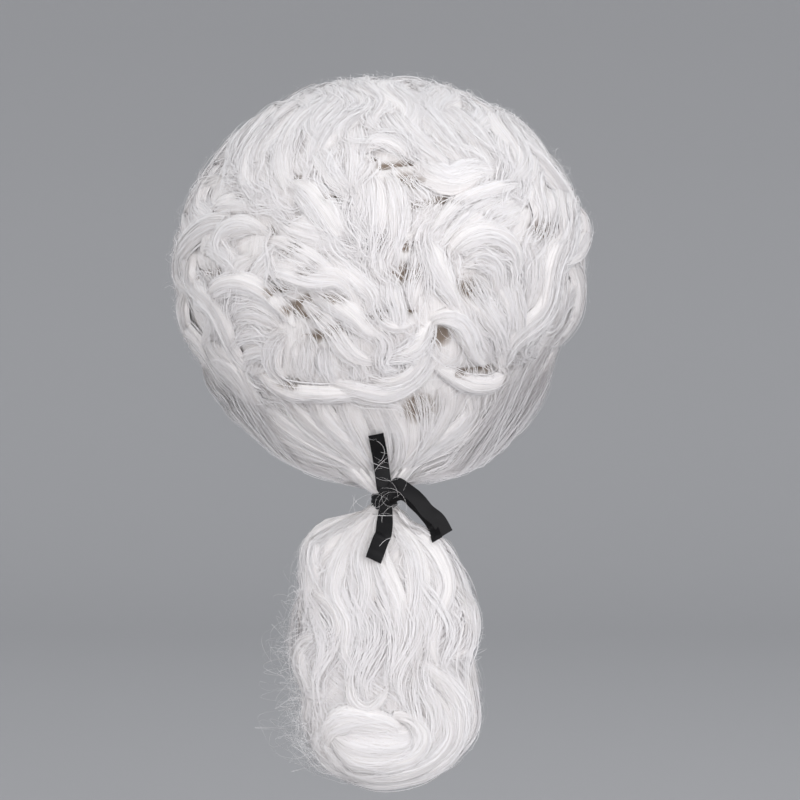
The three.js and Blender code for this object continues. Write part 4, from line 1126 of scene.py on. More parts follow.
    def follow(
        self, turn: Array, share: Array, length: Array, steps: int, swing: Array
    ) -> tuple[Array, Array]:
        """Follows the flow from many places at once.

        Args:
            turn: Where each line starts round the head.
            share: Where each starts between the crown and the hem.
            length: How long each is.
            steps: How many steps each has.
            swing: How far each turns from the flow at each step, by line and step.

        Returns:
            The turns and the shares, by line and step.
        """
        turns, shares = [turn], [share]
        for k in range(steps):
            i = np.round((np.degrees(turn) + 180) / 3).astype(int) % 120
            j = np.clip(np.round((share - 0.02) / 0.98 * 55).astype(int), 0, 55)
            a, b = self.flow[0][i, j], self.flow[1][i, j]
            angle = swing[:, k]
            a, b = a * np.cos(angle) - b * np.sin(angle), a * np.sin(angle) + b * np.cos(angle)
            round_way, down_way = self.form.slopes(turn, share)
            pace = length / steps
            turn = turn + a * pace / np.maximum(np.linalg.norm(round_way, axis=1), 0.02)
            share = np.clip(share + b * pace / np.maximum(np.linalg.norm(down_way, axis=1), 0.05), 0.01, 1)
            turns.append(turn)
            shares.append(share)
        return np.stack(turns, axis=1), np.stack(shares, axis=1)

    def spots(self, count: int) -> tuple[Array, Array]:
        """Chooses places spread evenly over the form.

        Args:
            count: How many places.

        Returns:
            The turns and the shares.
        """
        turn = self.rng.uniform(-math.pi, math.pi, count * 3)
        share = self.rng.uniform(0.02, 0.99, count * 3)
        girth = np.linalg.norm(np.cross(*self.form.slopes(turn, share)), axis=1)
        kept = self.rng.random(len(turn)) < girth / np.percentile(girth, 97)
        return turn[kept][:count], share[kept][:count]

    def wisps(self, count: int) -> None:
        """Lays thin loose wisps over the locks, each waved and curled at its tip.

        Args:
            count: How many there are.
        """
        rng = self.rng
        turn, share = self.spots(count)
        steps = 22
        length = rng.uniform(0.035, 0.085, count)
        gone = np.linspace(0, 1, steps)[None, :]
        wave = rng.uniform(0.3, 0.9, count)[:, None] * np.sin(
            2 * math.pi * gone * (length / rng.uniform(0.035, 0.06, count))[:, None]
            + rng.uniform(0, 6.3, count)[:, None]
        )
        curl = rng.normal(0, 1.8, count)[:, None] * np.maximum(gone - 0.5, 0) ** 1.5 * 3
        turns, shares = self.follow(turn, share, length, steps, wave + curl)
        level = self.form.point(turns[:, steps // 2], shares[:, steps // 2])[:, 2]
        for k in np.flatnonzero(level > -NAPE_DROP - 0.008):
            cells = (rng.uniform(9, 20), rng.uniform(0.6, 1.5), rng.uniform(2.0, 4.2))
            lock = self.lock_on(turns[k], shares[k], cells)
            lock.density, lock.clumped = rng.uniform(1.0, 1.7), False
            self.take(lock.comb(rng), 0.8)

    def underlayer(self, count: int) -> None:
        """Combs the strands that fill the room between the locks.

        Args:
            count: How many strands there are.
        """
        rng = self.rng
        turn, share = self.spots(count)
        length = rng.uniform(0.045, 0.08, count)
        steps = 8
        gone = np.linspace(0, 1, steps)[None, :]
        phase = rng.uniform(0, 2 * math.pi, count)[:, None]
        swing = 0.4 * np.sin(2 * math.pi * gone * length[:, None] / 0.05 + phase)
        turns, shares = self.follow(turn, share, length, steps, swing)
        normals = self.form.normal(turns, shares)
        t = np.linspace(0, 1, steps + 1)[None, :]
        level = rng.uniform(-7, -4.5, len(turns))[:, None]
        level = level + rng.uniform(0, 2, len(turns))[:, None] * np.sin(t * 3.1)
        lines = self.form.point(turns, shares) + normals * level[..., None] * MM
        tilt = rng.normal(0, 0.4, len(turns))[:, None]
        radius = rng.uniform(0.15, 0.32, len(turns)) * MM
        self.take(laid(lines, normals, tilt, radius, np.clip(rng.normal(0.42, 0.2, len(turns)), 0, 1)), 0.4)

    def hem_turns(self, count: int, least: float = 0.0) -> Array:
        """Chooses turns on both sides that lie evenly along the hem.

        Args:
            count: How many there are.
            least: The least turn from the middle of the back, in radians.

        Returns:
            The turns, in radians.
        """
        turns = np.linspace(least, math.pi, 720)
        hem = self.form.point(turns, np.ones(720))
        gone = np.concatenate([[0.0], np.cumsum(np.linalg.norm(np.diff(hem, axis=0), axis=1))])
        return np.interp(self.rng.uniform(0, gone[-1], count), gone, turns) * self.rng.choice([-1, 1], count)

    def hairline(self, count: int) -> None:
        """Rolls strands from the cap's rim out under the hem and back up over it.

        Args:
            count: How many there are.
        """
        rng = self.rng
        turn = self.hem_turns(count, math.radians(58))
        hem_drop = -self.form.point(turn, np.ones(count))[:, 2]
        start = head_point(turn, slope_at(hem_drop - rng.uniform(0.002, 0.02, count), 0.003), 0.003)
        rise = rng.uniform(0.05, 0.16, count)
        heading = rng.normal(0, 0.16, count) + 0.22 * np.sin(turn * 13)
        turns = turn[:, None] + heading[:, None] * np.linspace(0, 1, 6)[None, :]
        shares = 1 - rise[:, None] * np.linspace(0, 1, 6)[None, :] ** 0.9
        normals = self.form.normal(turns, shares)
        level = (-4.5 + 6 * np.sin(np.linspace(0.2, 2.9, 6)))[None, :, None] * MM
        over = self.form.point(turns, shares) + normals * level
        parts = np.array([0.0, 0.3, 0.6, 0.85])[None, :, None]
        under = start[:, None] + (over[:, :1] - start[:, None]) * parts
        bulge = np.array([0.0, 0.8, 1.0, 0.7])[None, :, None] * rng.uniform(1.5, 5, count)[:, None, None] * MM
        under[..., 2:] -= bulge
        lines = np.concatenate([under, over], axis=1)
        low = unit(np.array([0, 0, -1.0]) + 0.4 * normals[:, :1])
        facing = unit(np.concatenate([np.repeat(low, 4, axis=1), normals], axis=1))
        tilt = rng.normal(0, 0.35, count)[:, None]
        self.take(laid(lines, facing, tilt, rng.uniform(0.2, 0.42, count) * MM, rng.normal(0.5, 0.18, count)))

    def lining(self, count: int) -> None:
        """Lays strands down the inner side, from the cap's rim to the hem.

        Args:
            count: How many there are.
        """
        rng = self.rng
        turn = self.hem_turns(count)
        steps = 8
        sway = rng.normal(0, 0.03, count)[:, None] * np.linspace(0, 1, steps)[None, :]
        turns = turn[:, None] + sway
        hem_drop = -self.form.point(turns, np.ones_like(turns))[..., 2]
        gone = np.linspace(0, 1, steps)[None, :]
        drop = hem_drop + (rim_drop(turns) - 0.012 - hem_drop) * (1 - gone)
        out = rng.uniform(0.8, 1.6, count)[:, None] * MM
        wall = head_point(turns, slope_at(drop, 0.0013), 0.0013)
        inward = unit(wall * [-1, -1, 0])
        wall = wall + inward * out[..., None] * 0.5
        hem = self.form.point(turns[:, -1], np.ones(count))
        under = wall[:, -1:] + (hem - wall[:, -1])[:, None] * np.array([0.35, 0.7, 0.96])[None, :, None]
        beside = self.form.point(turns[:, -1] + 0.02, np.ones(count)) - hem
        low = unit(np.cross(beside, wall[:, -1] - hem))
        low = (low * np.where(low[:, 2:] > 0, -1, 1))[:, None] + np.zeros_like(under)
        under = under + low * (out * [0.9, 1.1, 0.6])[..., None]
        lines = np.concatenate([wall, under], axis=1)
        facing = unit(np.concatenate([inward, low + 0.3 * inward[:, -1:]], axis=1))
        tilt = rng.normal(0, 0.35, count)[:, None]
        self.take(laid(lines, facing, tilt, rng.uniform(0.2, 0.4, count) * MM, rng.normal(0.5, 0.2, count)))

    def along_hem(
        self, turn: Array, end: Array, begin: Array, stand: Array, steps: int
    ) -> tuple[Array, Array]:
        """Leads ways along the hem toward the knot, out under it in their middle.

        Args:
            turn: Where each starts round the head, in radians.
            end: Where each ends round the head, in radians.
            begin: Where each starts between the crown and the hem.
            stand: How far each hangs past the hem, in millimetres.
            steps: How many steps each has.

        Returns:
            The places, and the directions out of the hair.
        """
        t = np.linspace(0, 1, steps + 1)[None, :]
        turns = turn[:, None] + (end - turn)[:, None] * t
        shares = begin[:, None] + (1 - begin)[:, None] * np.minimum(1, 1.5 * t)
        normals = self.form.normal(turns, shares)
        out = unit(normals * [1, 1, 0] + [0, 0, -0.9])
        rise = (-4 + (stand[:, None] + 4) * np.sin(math.pi * t) ** 0.7) * MM
        return self.form.point(turns, shares) + out * rise[..., None], unit(normals + out)

    def hem_locks(self) -> None:
        """Combs the loose locks that sweep along the hem of the sides to the knot."""
        for hand, ease in ((-1, (4.0, 1.5, -2.0, -6.0, -6.0)), (1, (0.0, 0.0, 0.0, -1.5, -2.0))):
            for start, stand in zip((94, 86, 76, 66, 58), np.add((-3.0, -2.0, -1.0, 0.5, -0.5), ease)):
                end = 1.1 * start - 54
                ends = np.radians([[hand * (start + self.rng.normal(0, 2))], [hand * end]])
                points, normals = self.along_hem(*ends, np.array([0.86]), np.array([stand]), 29)
                lock = Lock(points[0], normals[0], 0.02, 0.003, density=3.6, clumped=False)
                self.take(lock.comb(self.rng))

    def fringe(self, count: int) -> None:
        """Hangs loose curled hairs under the hem of the sides.

        Args:
            count: How many there are.
        """
        rng = self.rng
        hand = np.where(rng.random(count) < 0.6, 1, -1)
        start, end = np.radians(rng.uniform(50, 100, count)), np.radians(rng.uniform(12, 42, count))
        stand = np.where(hand > 0, rng.uniform(0, 10, count), rng.uniform(-2, 3, count))
        lines, normals = self.along_hem(hand * start, hand * end, rng.uniform(0.78, 0.94, count), stand, 13)
        t = np.linspace(0, 1, 14)[None, :]
        curl = rng.uniform(0, 6.3, (count, 1)) + rng.uniform(2, 6, (count, 1)) * t
        size = rng.uniform(0.5, 3.5, (count, 1)) * t * MM
        side = unit(np.cross(unit(np.gradient(lines, axis=1)), normals))
        lines = lines + side * (size * np.sin(curl))[..., None] + normals * (size * np.cos(curl))[..., None]
        radius = rng.uniform(0.14, 0.26, count) * MM
        self.take(laid(lines, normals, rng.normal(0, 0.3, (count, 1)), radius, rng.uniform(0.4, 0.9, count)))

    def flyaways(self, count: int) -> None:
        """Adds single curled hairs that stand off the form.

        Args:
            count: How many there are.
        """
        rng = self.rng
        turn, share = self.spots(count)
        steps = 8
        t = np.linspace(0, 1, steps + 1)[None, :]
        swing = rng.uniform(0, 2 * math.pi, count)[:, None] + rng.normal(0, 2.4, count)[:, None] * t[:, :-1]
        turns, shares = self.follow(turn, share, rng.uniform(0.012, 0.042, count), steps, swing)
        normals = self.form.normal(turns, shares)
        level = rng.uniform(-2.5, 1.5, count)[:, None]
        level = (level + rng.gamma(2.0, 1.3, count)[:, None] * np.sin(t * 2.6)) * MM
        lines = self.form.point(turns, shares) + normals * level[..., None]
        radius = rng.uniform(0.06, 0.12, count) * MM
        self.take(laid(lines, normals, np.zeros((count, 1)), radius, rng.uniform(0.5, 1, count)))

    def core(self) -> None:
        """Adds the core that the locks lie on to each region's bodies."""
        rounds, rows, rim_rows = 200, 90, 10
        turn = np.linspace(-math.pi, math.pi, rounds + 1)[:, None]
        share = np.linspace(0, 1, rows + 1)[None, :]
        turn_grid, share_grid = np.broadcast_arrays(turn, share)
        base = self.form.point(turn_grid, share_grid)
        normals = self.form.normal(turn_grid, share_grid)
        normals[:, 0] = [0, 0, 1]
        gap = self.gap_at(base)
        outer = base - normals * (CORE_DEPTH + gap * 5 * MM)[..., None]
        hem = outer[:, -1]
        hem_drop = -self.form.point(turn[:, 0], np.ones(rounds + 1))[:, 2]
        inner = []
        for k in range(rim_rows + 1):
            drop = hem_drop + (rim_drop(turn[:, 0]) - 0.012 - hem_drop) * k / rim_rows
            inner.append(head_point(turn[:, 0], slope_at(drop, 0.0023), 0.0023))
        inner = np.stack(inner, axis=1)
        under = np.stack([hem + (inner[:, 0] - hem) * k / 5 for k in range(1, 5)], axis=1)
        whole = np.concatenate([outer, under, inner], axis=1)
        extra = whole.shape[1] - rows - 1
        mask = np.concatenate([gap, np.zeros((rounds + 1, extra))], axis=1)
        where = region_of((whole[:-1, :-1] + whole[1:, 1:]) / 2)
        stride = whole.shape[1]
        index = np.arange(rounds + 1)[:, None] * stride + np.arange(stride)[None, :]
        quads = np.stack([index[:-1, :-1], index[:-1, 1:], index[1:, 1:], index[1:, :-1]], axis=-1)
        u, v = np.broadcast_arrays(np.linspace(0, 1, rounds + 1)[:, None], np.linspace(0, 1, stride)[None, :])
        places = np.stack([u, v], axis=-1).reshape(-1, 2)
        grain = np.stack([u * 0.8, v * 0.4, np.zeros_like(u)], axis=-1).reshape(-1, 3)
        for k, region in enumerate(Region):
            used, renamed = np.unique(quads[where == k], return_inverse=True)
            self.bodies[region].add(
                whole.reshape(-1, 3)[used],
                renamed.reshape(-1, 4),
                grain[used],
                mask.ravel()[used],
                places[used],
            )

    def build(self) -> list[bpy.types.Object]:
        """Builds the head's hair and returns its pieces.

        Returns:
            The pieces.
        """
        self.chart()
        self.sides()
        self.core()
        for lock in self.locks:
            self.take(lock.comb(self.rng), 0.6)
            points, grain = lock.body()
            gap = self.gap_at(points)
            middle = len(points) // 2, points.shape[1] // 2
            region = list(Region)[int(region_of(points[middle]))]
            self.bodies[region].add_grid(pinch(points - self.body_sink(lock, gap)), grain, gap)
        self.set_flow()
        self.underlayer(5000)
        self.wisps(300)
        self.hairline(1500)
        self.lining(1900)
        self.hem_locks()
        self.fringe(900)
        self.flyaways(2600)
        pieces = []
        for region, bodies in self.bodies.items():
            obj = bodies.build(region.value + "_core")
            dress(obj, CoreFinish(), region.value)
            pieces.append(obj)
        for region, bag in self.bags.items():
            obj = bag.build(region.value + "_locks")
            LOG.info("%s: %d triangles", obj.name, bag.triangles())
            dress(obj, HairFinish(), region.value)
            pieces.append(obj)
        return pieces

    def body_sink(self, lock: Lock, gap: Array) -> Array:
        """How far a lock's body is pressed in where it crosses a gap.

        Args:
            lock: The lock.
            gap: How much of a gap each place of its body is in.

        Returns:
            How far each place moves in.
        """
        return lock.normals[np.linspace(0, len(lock.normals) - 1, len(gap)).astype(int)][:, None] * (
            gap * 6.5 * MM
        )[..., None]


def head_point(turn: Array, slope: Array, out: float) -> Array:
    """A place on the head, or on a shell that lies out beyond it.

    Args:
        turn: Where round the head, in radians.
        slope: The angle from the top of the head, in radians.
        out: How far out the shell lies.

    Returns:
        The places.
    """
    past = np.maximum(slope - math.pi / 2, 0)
    bent = np.minimum(slope, math.pi / 2)
    taper = NAPE_TAPER + (EAR_TAPER - NAPE_TAPER) * np.sin(turn) ** 2
    ring = np.sin(bent) * (1 - taper * past)
    dome = HEAD_DOME + out
    return np.stack(
        [
            (HEAD_WIDTH / 2 + out) * ring * np.sin(turn),
            -(HEAD_DEPTH / 2 + out) * ring * np.cos(turn),
            out - dome * (1 - np.cos(bent)) - dome * past,
        ],
        axis=-1,
    )


def slope_at(drop: Array, out: float) -> Array:
    """The slope at which a shell out beyond the head has dropped to a level.

    Args:
        drop: How far down the level lies.
        out: How far out the shell lies.

    Returns:
        The slopes.
    """
    dome = HEAD_DOME + out
    below = drop + out
    return np.where(
        below < dome, np.arccos(np.clip(1 - below / dome, -1, 1)), math.pi / 2 + (below - dome) / dome
    )


def rim_drop(turn: Array) -> Array:
    """How far the cap's rim lies below the origin."""
    middle = np.where(np.cos(turn) > 0, CAP_DROP_NAPE, CAP_DROP_FRONT)
    return middle + (CAP_DROP_EAR - middle) * np.sin(turn) ** 2


@dataclass
class Queue:
    """The tied tail: a core, an underlayer, its locks and the loose hairs at its edge."""

    form: QueueForm = field(default_factory=QueueForm)
    seed: int = 23
    bag: Strands = field(default_factory=Strands)

    def locks(self, rng: np.random.Generator) -> list[Lock]:
        """Lays the locks of the queue: those charted from behind, and their like on the neck's side.

        Args:
            rng: The source of chance.

        Returns:
            The locks.
        """
        made = []
        for face in (1, -1):
            for width, rise, lift, way in QUEUE_LOCKS:
                flat = smooth_way(np.array(way) * [QUEUE_HALF_WIDTH, QUEUE_LENGTH], 34)
                across, down = flat[:, 0] / QUEUE_HALF_WIDTH, flat[:, 1] / QUEUE_LENGTH
                turn = self.form.seat(across * 0.9 if face < 0 else across, down)
                turn = turn if face > 0 else math.pi + 0.35 * np.sin(down * 9 + rng.uniform(0, 6.3)) + turn
                points, normals = self.form.point(turn, down)
                t = np.linspace(0, 1, len(turn))
                arch = (-6.0 + 3.0 * np.sin(math.pi * np.clip(t * 1.05, 0, 1)) ** 0.6 + lift) * MM
                root = np.clip(down / 0.08, 0, 1)
                points = points + normals * (arch * root)[:, None]
                grooves = random_grooves(rng, width * MM)
                density = 3.4 if face > 0 else 2.0
                made.append(
                    Lock(points, normals, width * MM, rise * 0.8 * MM, density=density, grooves=grooves)
                )
        return made

    def hold(self, comb: Comb) -> None:
        """Takes strands, drawn in at the knot."""
        comb.lines = pinch(comb.lines)
        self.bag.add(comb)

    def underlayer(self, count: int, rng: np.random.Generator) -> None:
        """Combs waved strands from the knot down, all round the queue.

        Args:
            count: How many strands there are.
            rng: The seeded source of chance.
        """
        steps = 17
        t = np.linspace(0, 1, steps + 1)[None, :]
        turn = rng.uniform(-math.pi, math.pi, count)[:, None]
        begin = rng.uniform(0, 0.5, count)[:, None] ** 2 * 2
        down = begin + (rng.uniform(0.75, 1.0, count)[:, None] - begin) * t
        down = np.clip(down, 0, 0.995)
        phase = 0.9 * np.sin(turn) + rng.normal(0, 0.25, count)[:, None]
        swing = 0.3 * np.sin(2 * math.pi * down * QUEUE_LENGTH / 0.062 + phase) * np.clip(down / 0.15, 0, 1)
        points, normals = self.form.point(turn + swing, down)
        level = rng.uniform(-7, -1.5, count)[:, None] * np.clip(down / 0.1, 0.25, 1) * MM
        lines = points + normals * level[..., None]
        radius = rng.uniform(0.14, 0.3, count) * MM
        tilt = rng.normal(0, 0.4, count)[:, None]
        self.hold(laid(lines, normals, tilt, radius, np.clip(rng.normal(0.5, 0.22, count), 0, 1)))

    def waves(self, count: int, rng: np.random.Generator) -> None:
        """Lays thin waved wisps over the locks of the queue.

        Args:
            count: How many there are.
            rng: The seeded source of chance.
        """
        for _ in range(count):
            begin = rng.uniform(0.12, 0.62)
            down = begin + np.linspace(0, 1, 30) * rng.uniform(0.22, 0.4)
            start = rng.normal(0, 0.8) + (rng.random() < 0.3) * math.pi
            phase = 2 * math.pi * down * QUEUE_LENGTH / QUEUE_WAVE + 0.9 * math.sin(start)
            bend = rng.uniform(0.05, 0.15) * np.sin(phase)
            turn = start + bend + rng.normal(0, 0.15) * (down - begin) * 4
            points, normals = self.form.point(turn, down)
            t = np.linspace(0, 1, 30)
            arch = (-3.0 + 3.6 * np.sin(math.pi * t) ** 0.7 + rng.uniform(-0.5, 1.2)) * MM
            points = points + normals * arch[:, None]
            width, rise = rng.uniform(9, 19) * MM, rng.uniform(0.8, 1.8) * MM
            lock = Lock(points, normals, width, rise, density=rng.uniform(1.2, 2.0), clumped=False)
            self.hold(lock.comb(rng))

    def loose(self, count: int, rng: np.random.Generator) -> None:
        """Adds fine curled hairs that stand off the queue's edge.

        Args:
            count: How many there are.
            rng: The seeded source of chance.
        """
        steps = 10
        t = np.linspace(0, 1, steps + 1)[None, :]
        turn = rng.uniform(-math.pi, math.pi, count)[:, None]
        turn = np.where(rng.random(count)[:, None] < 0.42, rng.normal(-1.55, 0.25, count)[:, None], turn)
        down = rng.uniform(0.08, 0.99, count)[:, None]
        heading = rng.uniform(0, 2 * math.pi, count)[:, None] + rng.normal(0, 2.8, count)[:, None] * t
        length = rng.uniform(0.015, 0.05, count)[:, None]
        turns = turn + np.cumsum(np.cos(heading), axis=1) * length / steps / 0.045
        downs = down + np.cumsum(np.sin(heading), axis=1) * length / steps / QUEUE_LENGTH
        points, normals = self.form.point(turns, np.clip(downs, 0.05, 1))
        left = np.exp(-(((turn + 1.55) / 0.5) ** 2)) * np.clip((down - 0.3) * 3, 0, 1)
        size = rng.gamma(2.0, 1.2, count)[:, None] * (1 + 3.4 * left)
        level = (rng.uniform(-2, 1, count)[:, None] + size * np.sin(t * 2.6)) * MM
        lines = points + normals * level[..., None]
        radius = rng.uniform(0.06, 0.12, count) * MM
        self.bag.add(laid(lines, normals, np.zeros((count, 1)), radius, rng.uniform(0.5, 1, count)))

    def stray(self, count: int, rng: np.random.Generator) -> None:
        """Adds fine hairs that curl across the ribbon.

        Args:
            count: How many there are.
            rng: The seeded source of chance.
        """
        t = np.linspace(0, 1, 15)[None, :]
        size = rng.uniform(4, 15, (count, 1)) * MM
        angle = rng.uniform(0, 6.3, (count, 1)) + rng.uniform(1.4, 3.6, (count, 1)) * t
        size = size * (1 + rng.normal(0, 0.25, (count, 1)) * t)
        x = KNOT[0] + rng.normal(0, 6, (count, 1)) * MM + size * np.cos(angle)
        z = KNOT[2] + rng.uniform(-42, 32, (count, 1)) * MM + size * np.sin(angle)
        y = KNOT[1] - rng.uniform(17, 20, (count, 1)) * MM + 4 * MM * np.abs(np.sin(angle))
        lines = np.stack([x, y + np.zeros_like(x), z], axis=-1)
        normals = np.broadcast_to(np.array([0.0, -1.0, 0.0]), lines.shape)
        radius = rng.uniform(0.03, 0.05, count) * MM
        self.bag.add(laid(lines, normals, np.zeros((count, 1)), radius, np.full(count, 0.4)))

    def core(self) -> Bodies:
        """The closed core that the strands lie on.

        Returns:
            The core's faces.
        """
        rounds, rows = 48, 60
        turn = np.linspace(-math.pi, math.pi, rounds + 1)[None, :]
        down = np.linspace(0, 1, rows + 1)[:, None]
        turn, down = np.broadcast_arrays(turn, down)
        points, _ = self.form.point(turn, down, sink=0.005)
        points = pinch(points)
        points[-1] = self.form.middle(1.0)
        bodies = Bodies()
        grain = np.stack([turn * 0.05, down * QUEUE_LENGTH, np.zeros_like(turn)], axis=-1)
        bodies.add_grid(points[:, ::-1], grain[:, ::-1], np.zeros(turn.shape))
        return bodies

    def build(self) -> list[bpy.types.Object]:
        """Builds the queue and returns its pieces.

        Returns:
            The pieces.
        """
        rng = np.random.default_rng(self.seed)
        bodies = self.core()
        for lock in self.locks(rng):
            self.hold(lock.comb(rng))
            points, grain = lock.body()
            bodies.add_grid(pinch(points), grain, np.zeros(points.shape[:2]))
        self.underlayer(1200, rng)
        self.waves(34, rng)
        self.loose(1800, rng)
        self.stray(26, rng)
        core = bodies.build("queue_core")
        dress(core, CoreFinish(), "queue")
        strands = self.bag.build("queue_locks")
        LOG.info("%s: %d triangles", strands.name, self.bag.triangles())
        dress(strands, HairFinish(), "queue")
        return [core, strands]


# The ribbon's ways from the knot, in ribbon widths: right, up, lift off what is behind, and twist in degrees
TAIL_UP = ((0.04, 0.5, 0.35, 0), (-0.08, 1.4, 0.28, 4), (-0.28, 2.9, 0.25, 2), (-0.54, 4.35, 0.4, 0))
TAIL_DOWN = ((0.1, -0.3, 0.45, 0), (0.0, -1.7, 0.3, 6), (-0.35, -2.8, 0.25, -6), (-0.7, -3.75, 0.35, -10))
SIDE_END = (
    (0.3, 0.3, 0.5, 10), (0.75, 0.8, 0.7, -8), (1.35, 0.78, 0.8, -24), (2.05, 0.25, 0.8, -28),
    (2.75, -0.6, 0.75, -22), (3.5, -1.25, 0.7, -15), (4.02, -2.15, 0.6, -8),
)
SIDE_BACK = (
    (0.4, 0.1, 0.3, 30), (1.2, 0.3, 0.45, 34), (2.0, -0.3, 0.5, 30), (2.9, -1.3, 0.42, 24),
    (3.45, -2.5, 0.35, 16),
)


class Held(Enum):
    """How a length of the ribbon is held, in the frame's words."""

    HUNG = "hung"
    GATHERED = "gathered"
    FOLDED = "folded"


@dataclass
class Ribbon:
    """The black ribbon: its winding, its knot and its ends, each a thin strip."""

    behind: list = field(default_factory=list)
    thickness: float = 0.35 * MM
    winding_depth: float = 1.3 * MM

    def face(self, x: float, z: float) -> float:
        """How far back the hair reaches at a place, as seen from behind.

        Args:
            x: The place across.
            z: Its level.

        Returns:
            The hair's outermost Y there.
        """
        found = KNOT[1] - ROOT_DEPTH / 2 - self.winding_depth
        for tree in self.behind:
            for dx in (-3 * MM, 0, 3 * MM):
                hit = tree.ray_cast(Vector((x + dx, -1, z)), Vector((0, 1, 0)))[0]
                if hit is not None:
                    found = min(found, hit.y - 2.6 * MM)
        return found

    def strip(self, name: str, centre: Array, facing: Array, width: float, relief: Array) -> bpy.types.Object:
        """Shapes a strip of ribbon.

        Args:
            name: Its name.
            centre: The middle of the strip at each row.
            facing: The way it faces at each row.
            width: Its width, for each row.
            relief: How far each place stands out, by row and column.

        Returns:
            The strip, with its thickness.
        """
        rows, columns = relief.shape
        bpy.ops.object.select_all(action="DESELECT")
        bpy.ops.mesh.primitive_grid_add(x_subdivisions=columns - 1, y_subdivisions=rows - 1, size=1)
        strip = bpy.context.object
        strip.name = strip.data.name = name
        flat = np.empty(len(strip.data.vertices) * 3)
        strip.data.vertices.foreach_get("co", flat)
        flat = flat.reshape(-1, 3)
        i = np.round((flat[:, 1] + 0.5) * (rows - 1)).astype(int)
        j = np.round((flat[:, 0] + 0.5) * (columns - 1)).astype(int)
        along = unit(np.gradient(centre, axis=0))
        side = unit(np.cross(along, facing))
        out = unit(np.cross(side, along))
        places = centre[i] + side[i] * (flat[:, :1] * np.broadcast_to(width, rows)[i][:, None])
        places = places + out[i] * relief[i, j][:, None]
        strip.data.vertices.foreach_set("co", places.astype(np.float32).ravel())
        run = np.concatenate([[0], np.cumsum(np.linalg.norm(np.diff(centre, axis=0), axis=1))])
        cloth = strip.data.attributes.new("cloth", "FLOAT_VECTOR", "POINT")
        weave = np.stack([flat[:, 0] * RIBBON_WIDTH, run[i], np.zeros(len(i))], axis=1) / MM
        cloth.data.foreach_set("vector", weave.astype(np.float32).ravel())
        strip.data.update()
        wall = strip.modifiers.new("wall", "SOLIDIFY")
        wall.thickness = self.thickness
        wall.offset = 0
        bpy.ops.object.modifier_apply(modifier=wall.name)
        bpy.ops.object.shade_smooth_by_angle(angle=math.radians(50))
        return strip

    def end(self, name: str, rows: tuple, width: float, sway: float) -> tuple[bpy.types.Object, float]:
        """Shapes an end of the ribbon along its way.

        Args:
            name: Its name.
            rows: The rows of its way.
            width: Its width as a share of the ribbon's.
            sway: Where its ripple starts, in radians.

        Returns:
            The end and its length.
        """
        way = smooth_way(np.array(rows), 64)
        x, z = KNOT[0] + way[:, 0] * RIBBON_WIDTH, KNOT[2] + way[:, 1] * RIBBON_WIDTH
        y = np.array([self.face(*spot) for spot in zip(x, z)])
        eased = np.convolve(np.pad(y, 6, mode="edge"), np.ones(13) / 13, "valid")
        y = np.minimum(y, eased) - way[:, 2] * RIBBON_WIDTH * 0.6
        centre = np.stack([x, y, z], axis=1)
        along = unit(np.gradient(centre, axis=0))
        side = unit(np.cross(along, np.array([0.0, -1.0, 0.0])))
        twist = np.radians(way[:, 3])[:, None]
        facing = unit(np.cross(side, along)) * np.cos(twist) + side * np.sin(twist)
        length = float(np.linalg.norm(np.diff(centre, axis=0), axis=1).sum())
        t = np.linspace(0, 1, 64)[:, None]
        u = np.linspace(-1, 1, 11)[None, :]
        relief = (0.55 * (1 - u**2) * (1 - 0.5 * t) + 0.35 * u * np.sin(t * length / MM / 4.5 + sway)) * MM
        relief = relief + 0.12 * MM * np.sin(t * length / MM / 1.9 + 2.2 * u + sway)
        spread = width * RIBBON_WIDTH * (0.78 + 0.22 * np.clip(t[:, 0] * 4, 0, 1))
        return self.strip(name, centre, facing, spread, relief), length

    def winding(self) -> bpy.types.Object:
        """Shapes the two turns of ribbon round the queue's root, drawn into ridges.

        Returns:
            The piece.
        """
        rows = 150
        t = np.linspace(0, 1, rows)
        angle = 2 * math.pi * (2.15 * t - 0.1)
        wide, deep = ROOT_WIDTH / 2 + (0.35 + 0.7 * t) * MM, ROOT_DEPTH / 2 + (0.35 + 0.7 * t) * MM
        centre = np.stack(
            [
                KNOT[0] + wide * np.sin(angle),
                KNOT[1] - deep * np.cos(angle),
                KNOT[2] + 0.5 * MM * np.sin(angle / 2 + 1),
            ],
            axis=1,
        )
        facing = np.stack([np.sin(angle), -np.cos(angle), np.zeros(rows)], axis=1)
        u = np.linspace(-1, 1, 15)[None, :]
        relief = 0.28 * MM * np.cos(u * 9 + 1.5 * np.sin(angle)[:, None]) - 0.25 * MM * u**2
        return self.strip("ribbon_winding", centre, facing, RIBBON_WIDTH * 0.86, relief)

    def knot(self) -> bpy.types.Object:
        """Shapes the knot: a band folded over the winding.

        Returns:
            The piece.
        """
        rows = 40
        angle = np.linspace(math.radians(-118), math.radians(118), rows)
        top = KNOT[1] - ROOT_DEPTH / 2 - self.winding_depth + 0.4 * MM
        centre = np.stack(
            [
                KNOT[0] + 1.6 * MM * np.sin(angle),
                top - 3.6 * MM * np.cos(angle),
                KNOT[2] + 5.0 * MM * np.sin(angle),
            ],
            axis=1,
        )
        facing = np.stack([np.zeros(rows), -np.cos(angle), np.sin(angle)], axis=1)
        u = np.linspace(-1, 1, 15)[None, :]
        relief = (0.9 * (1 - u**2) + 0.45 * np.cos(u * 7 + 1.3 * np.sin(angle)[:, None])) * MM
        width = RIBBON_WIDTH * (0.72 + 0.2 * np.abs(np.sin(angle)) ** 2)
        return self.strip("ribbon_knot_band", centre, facing, width, relief)

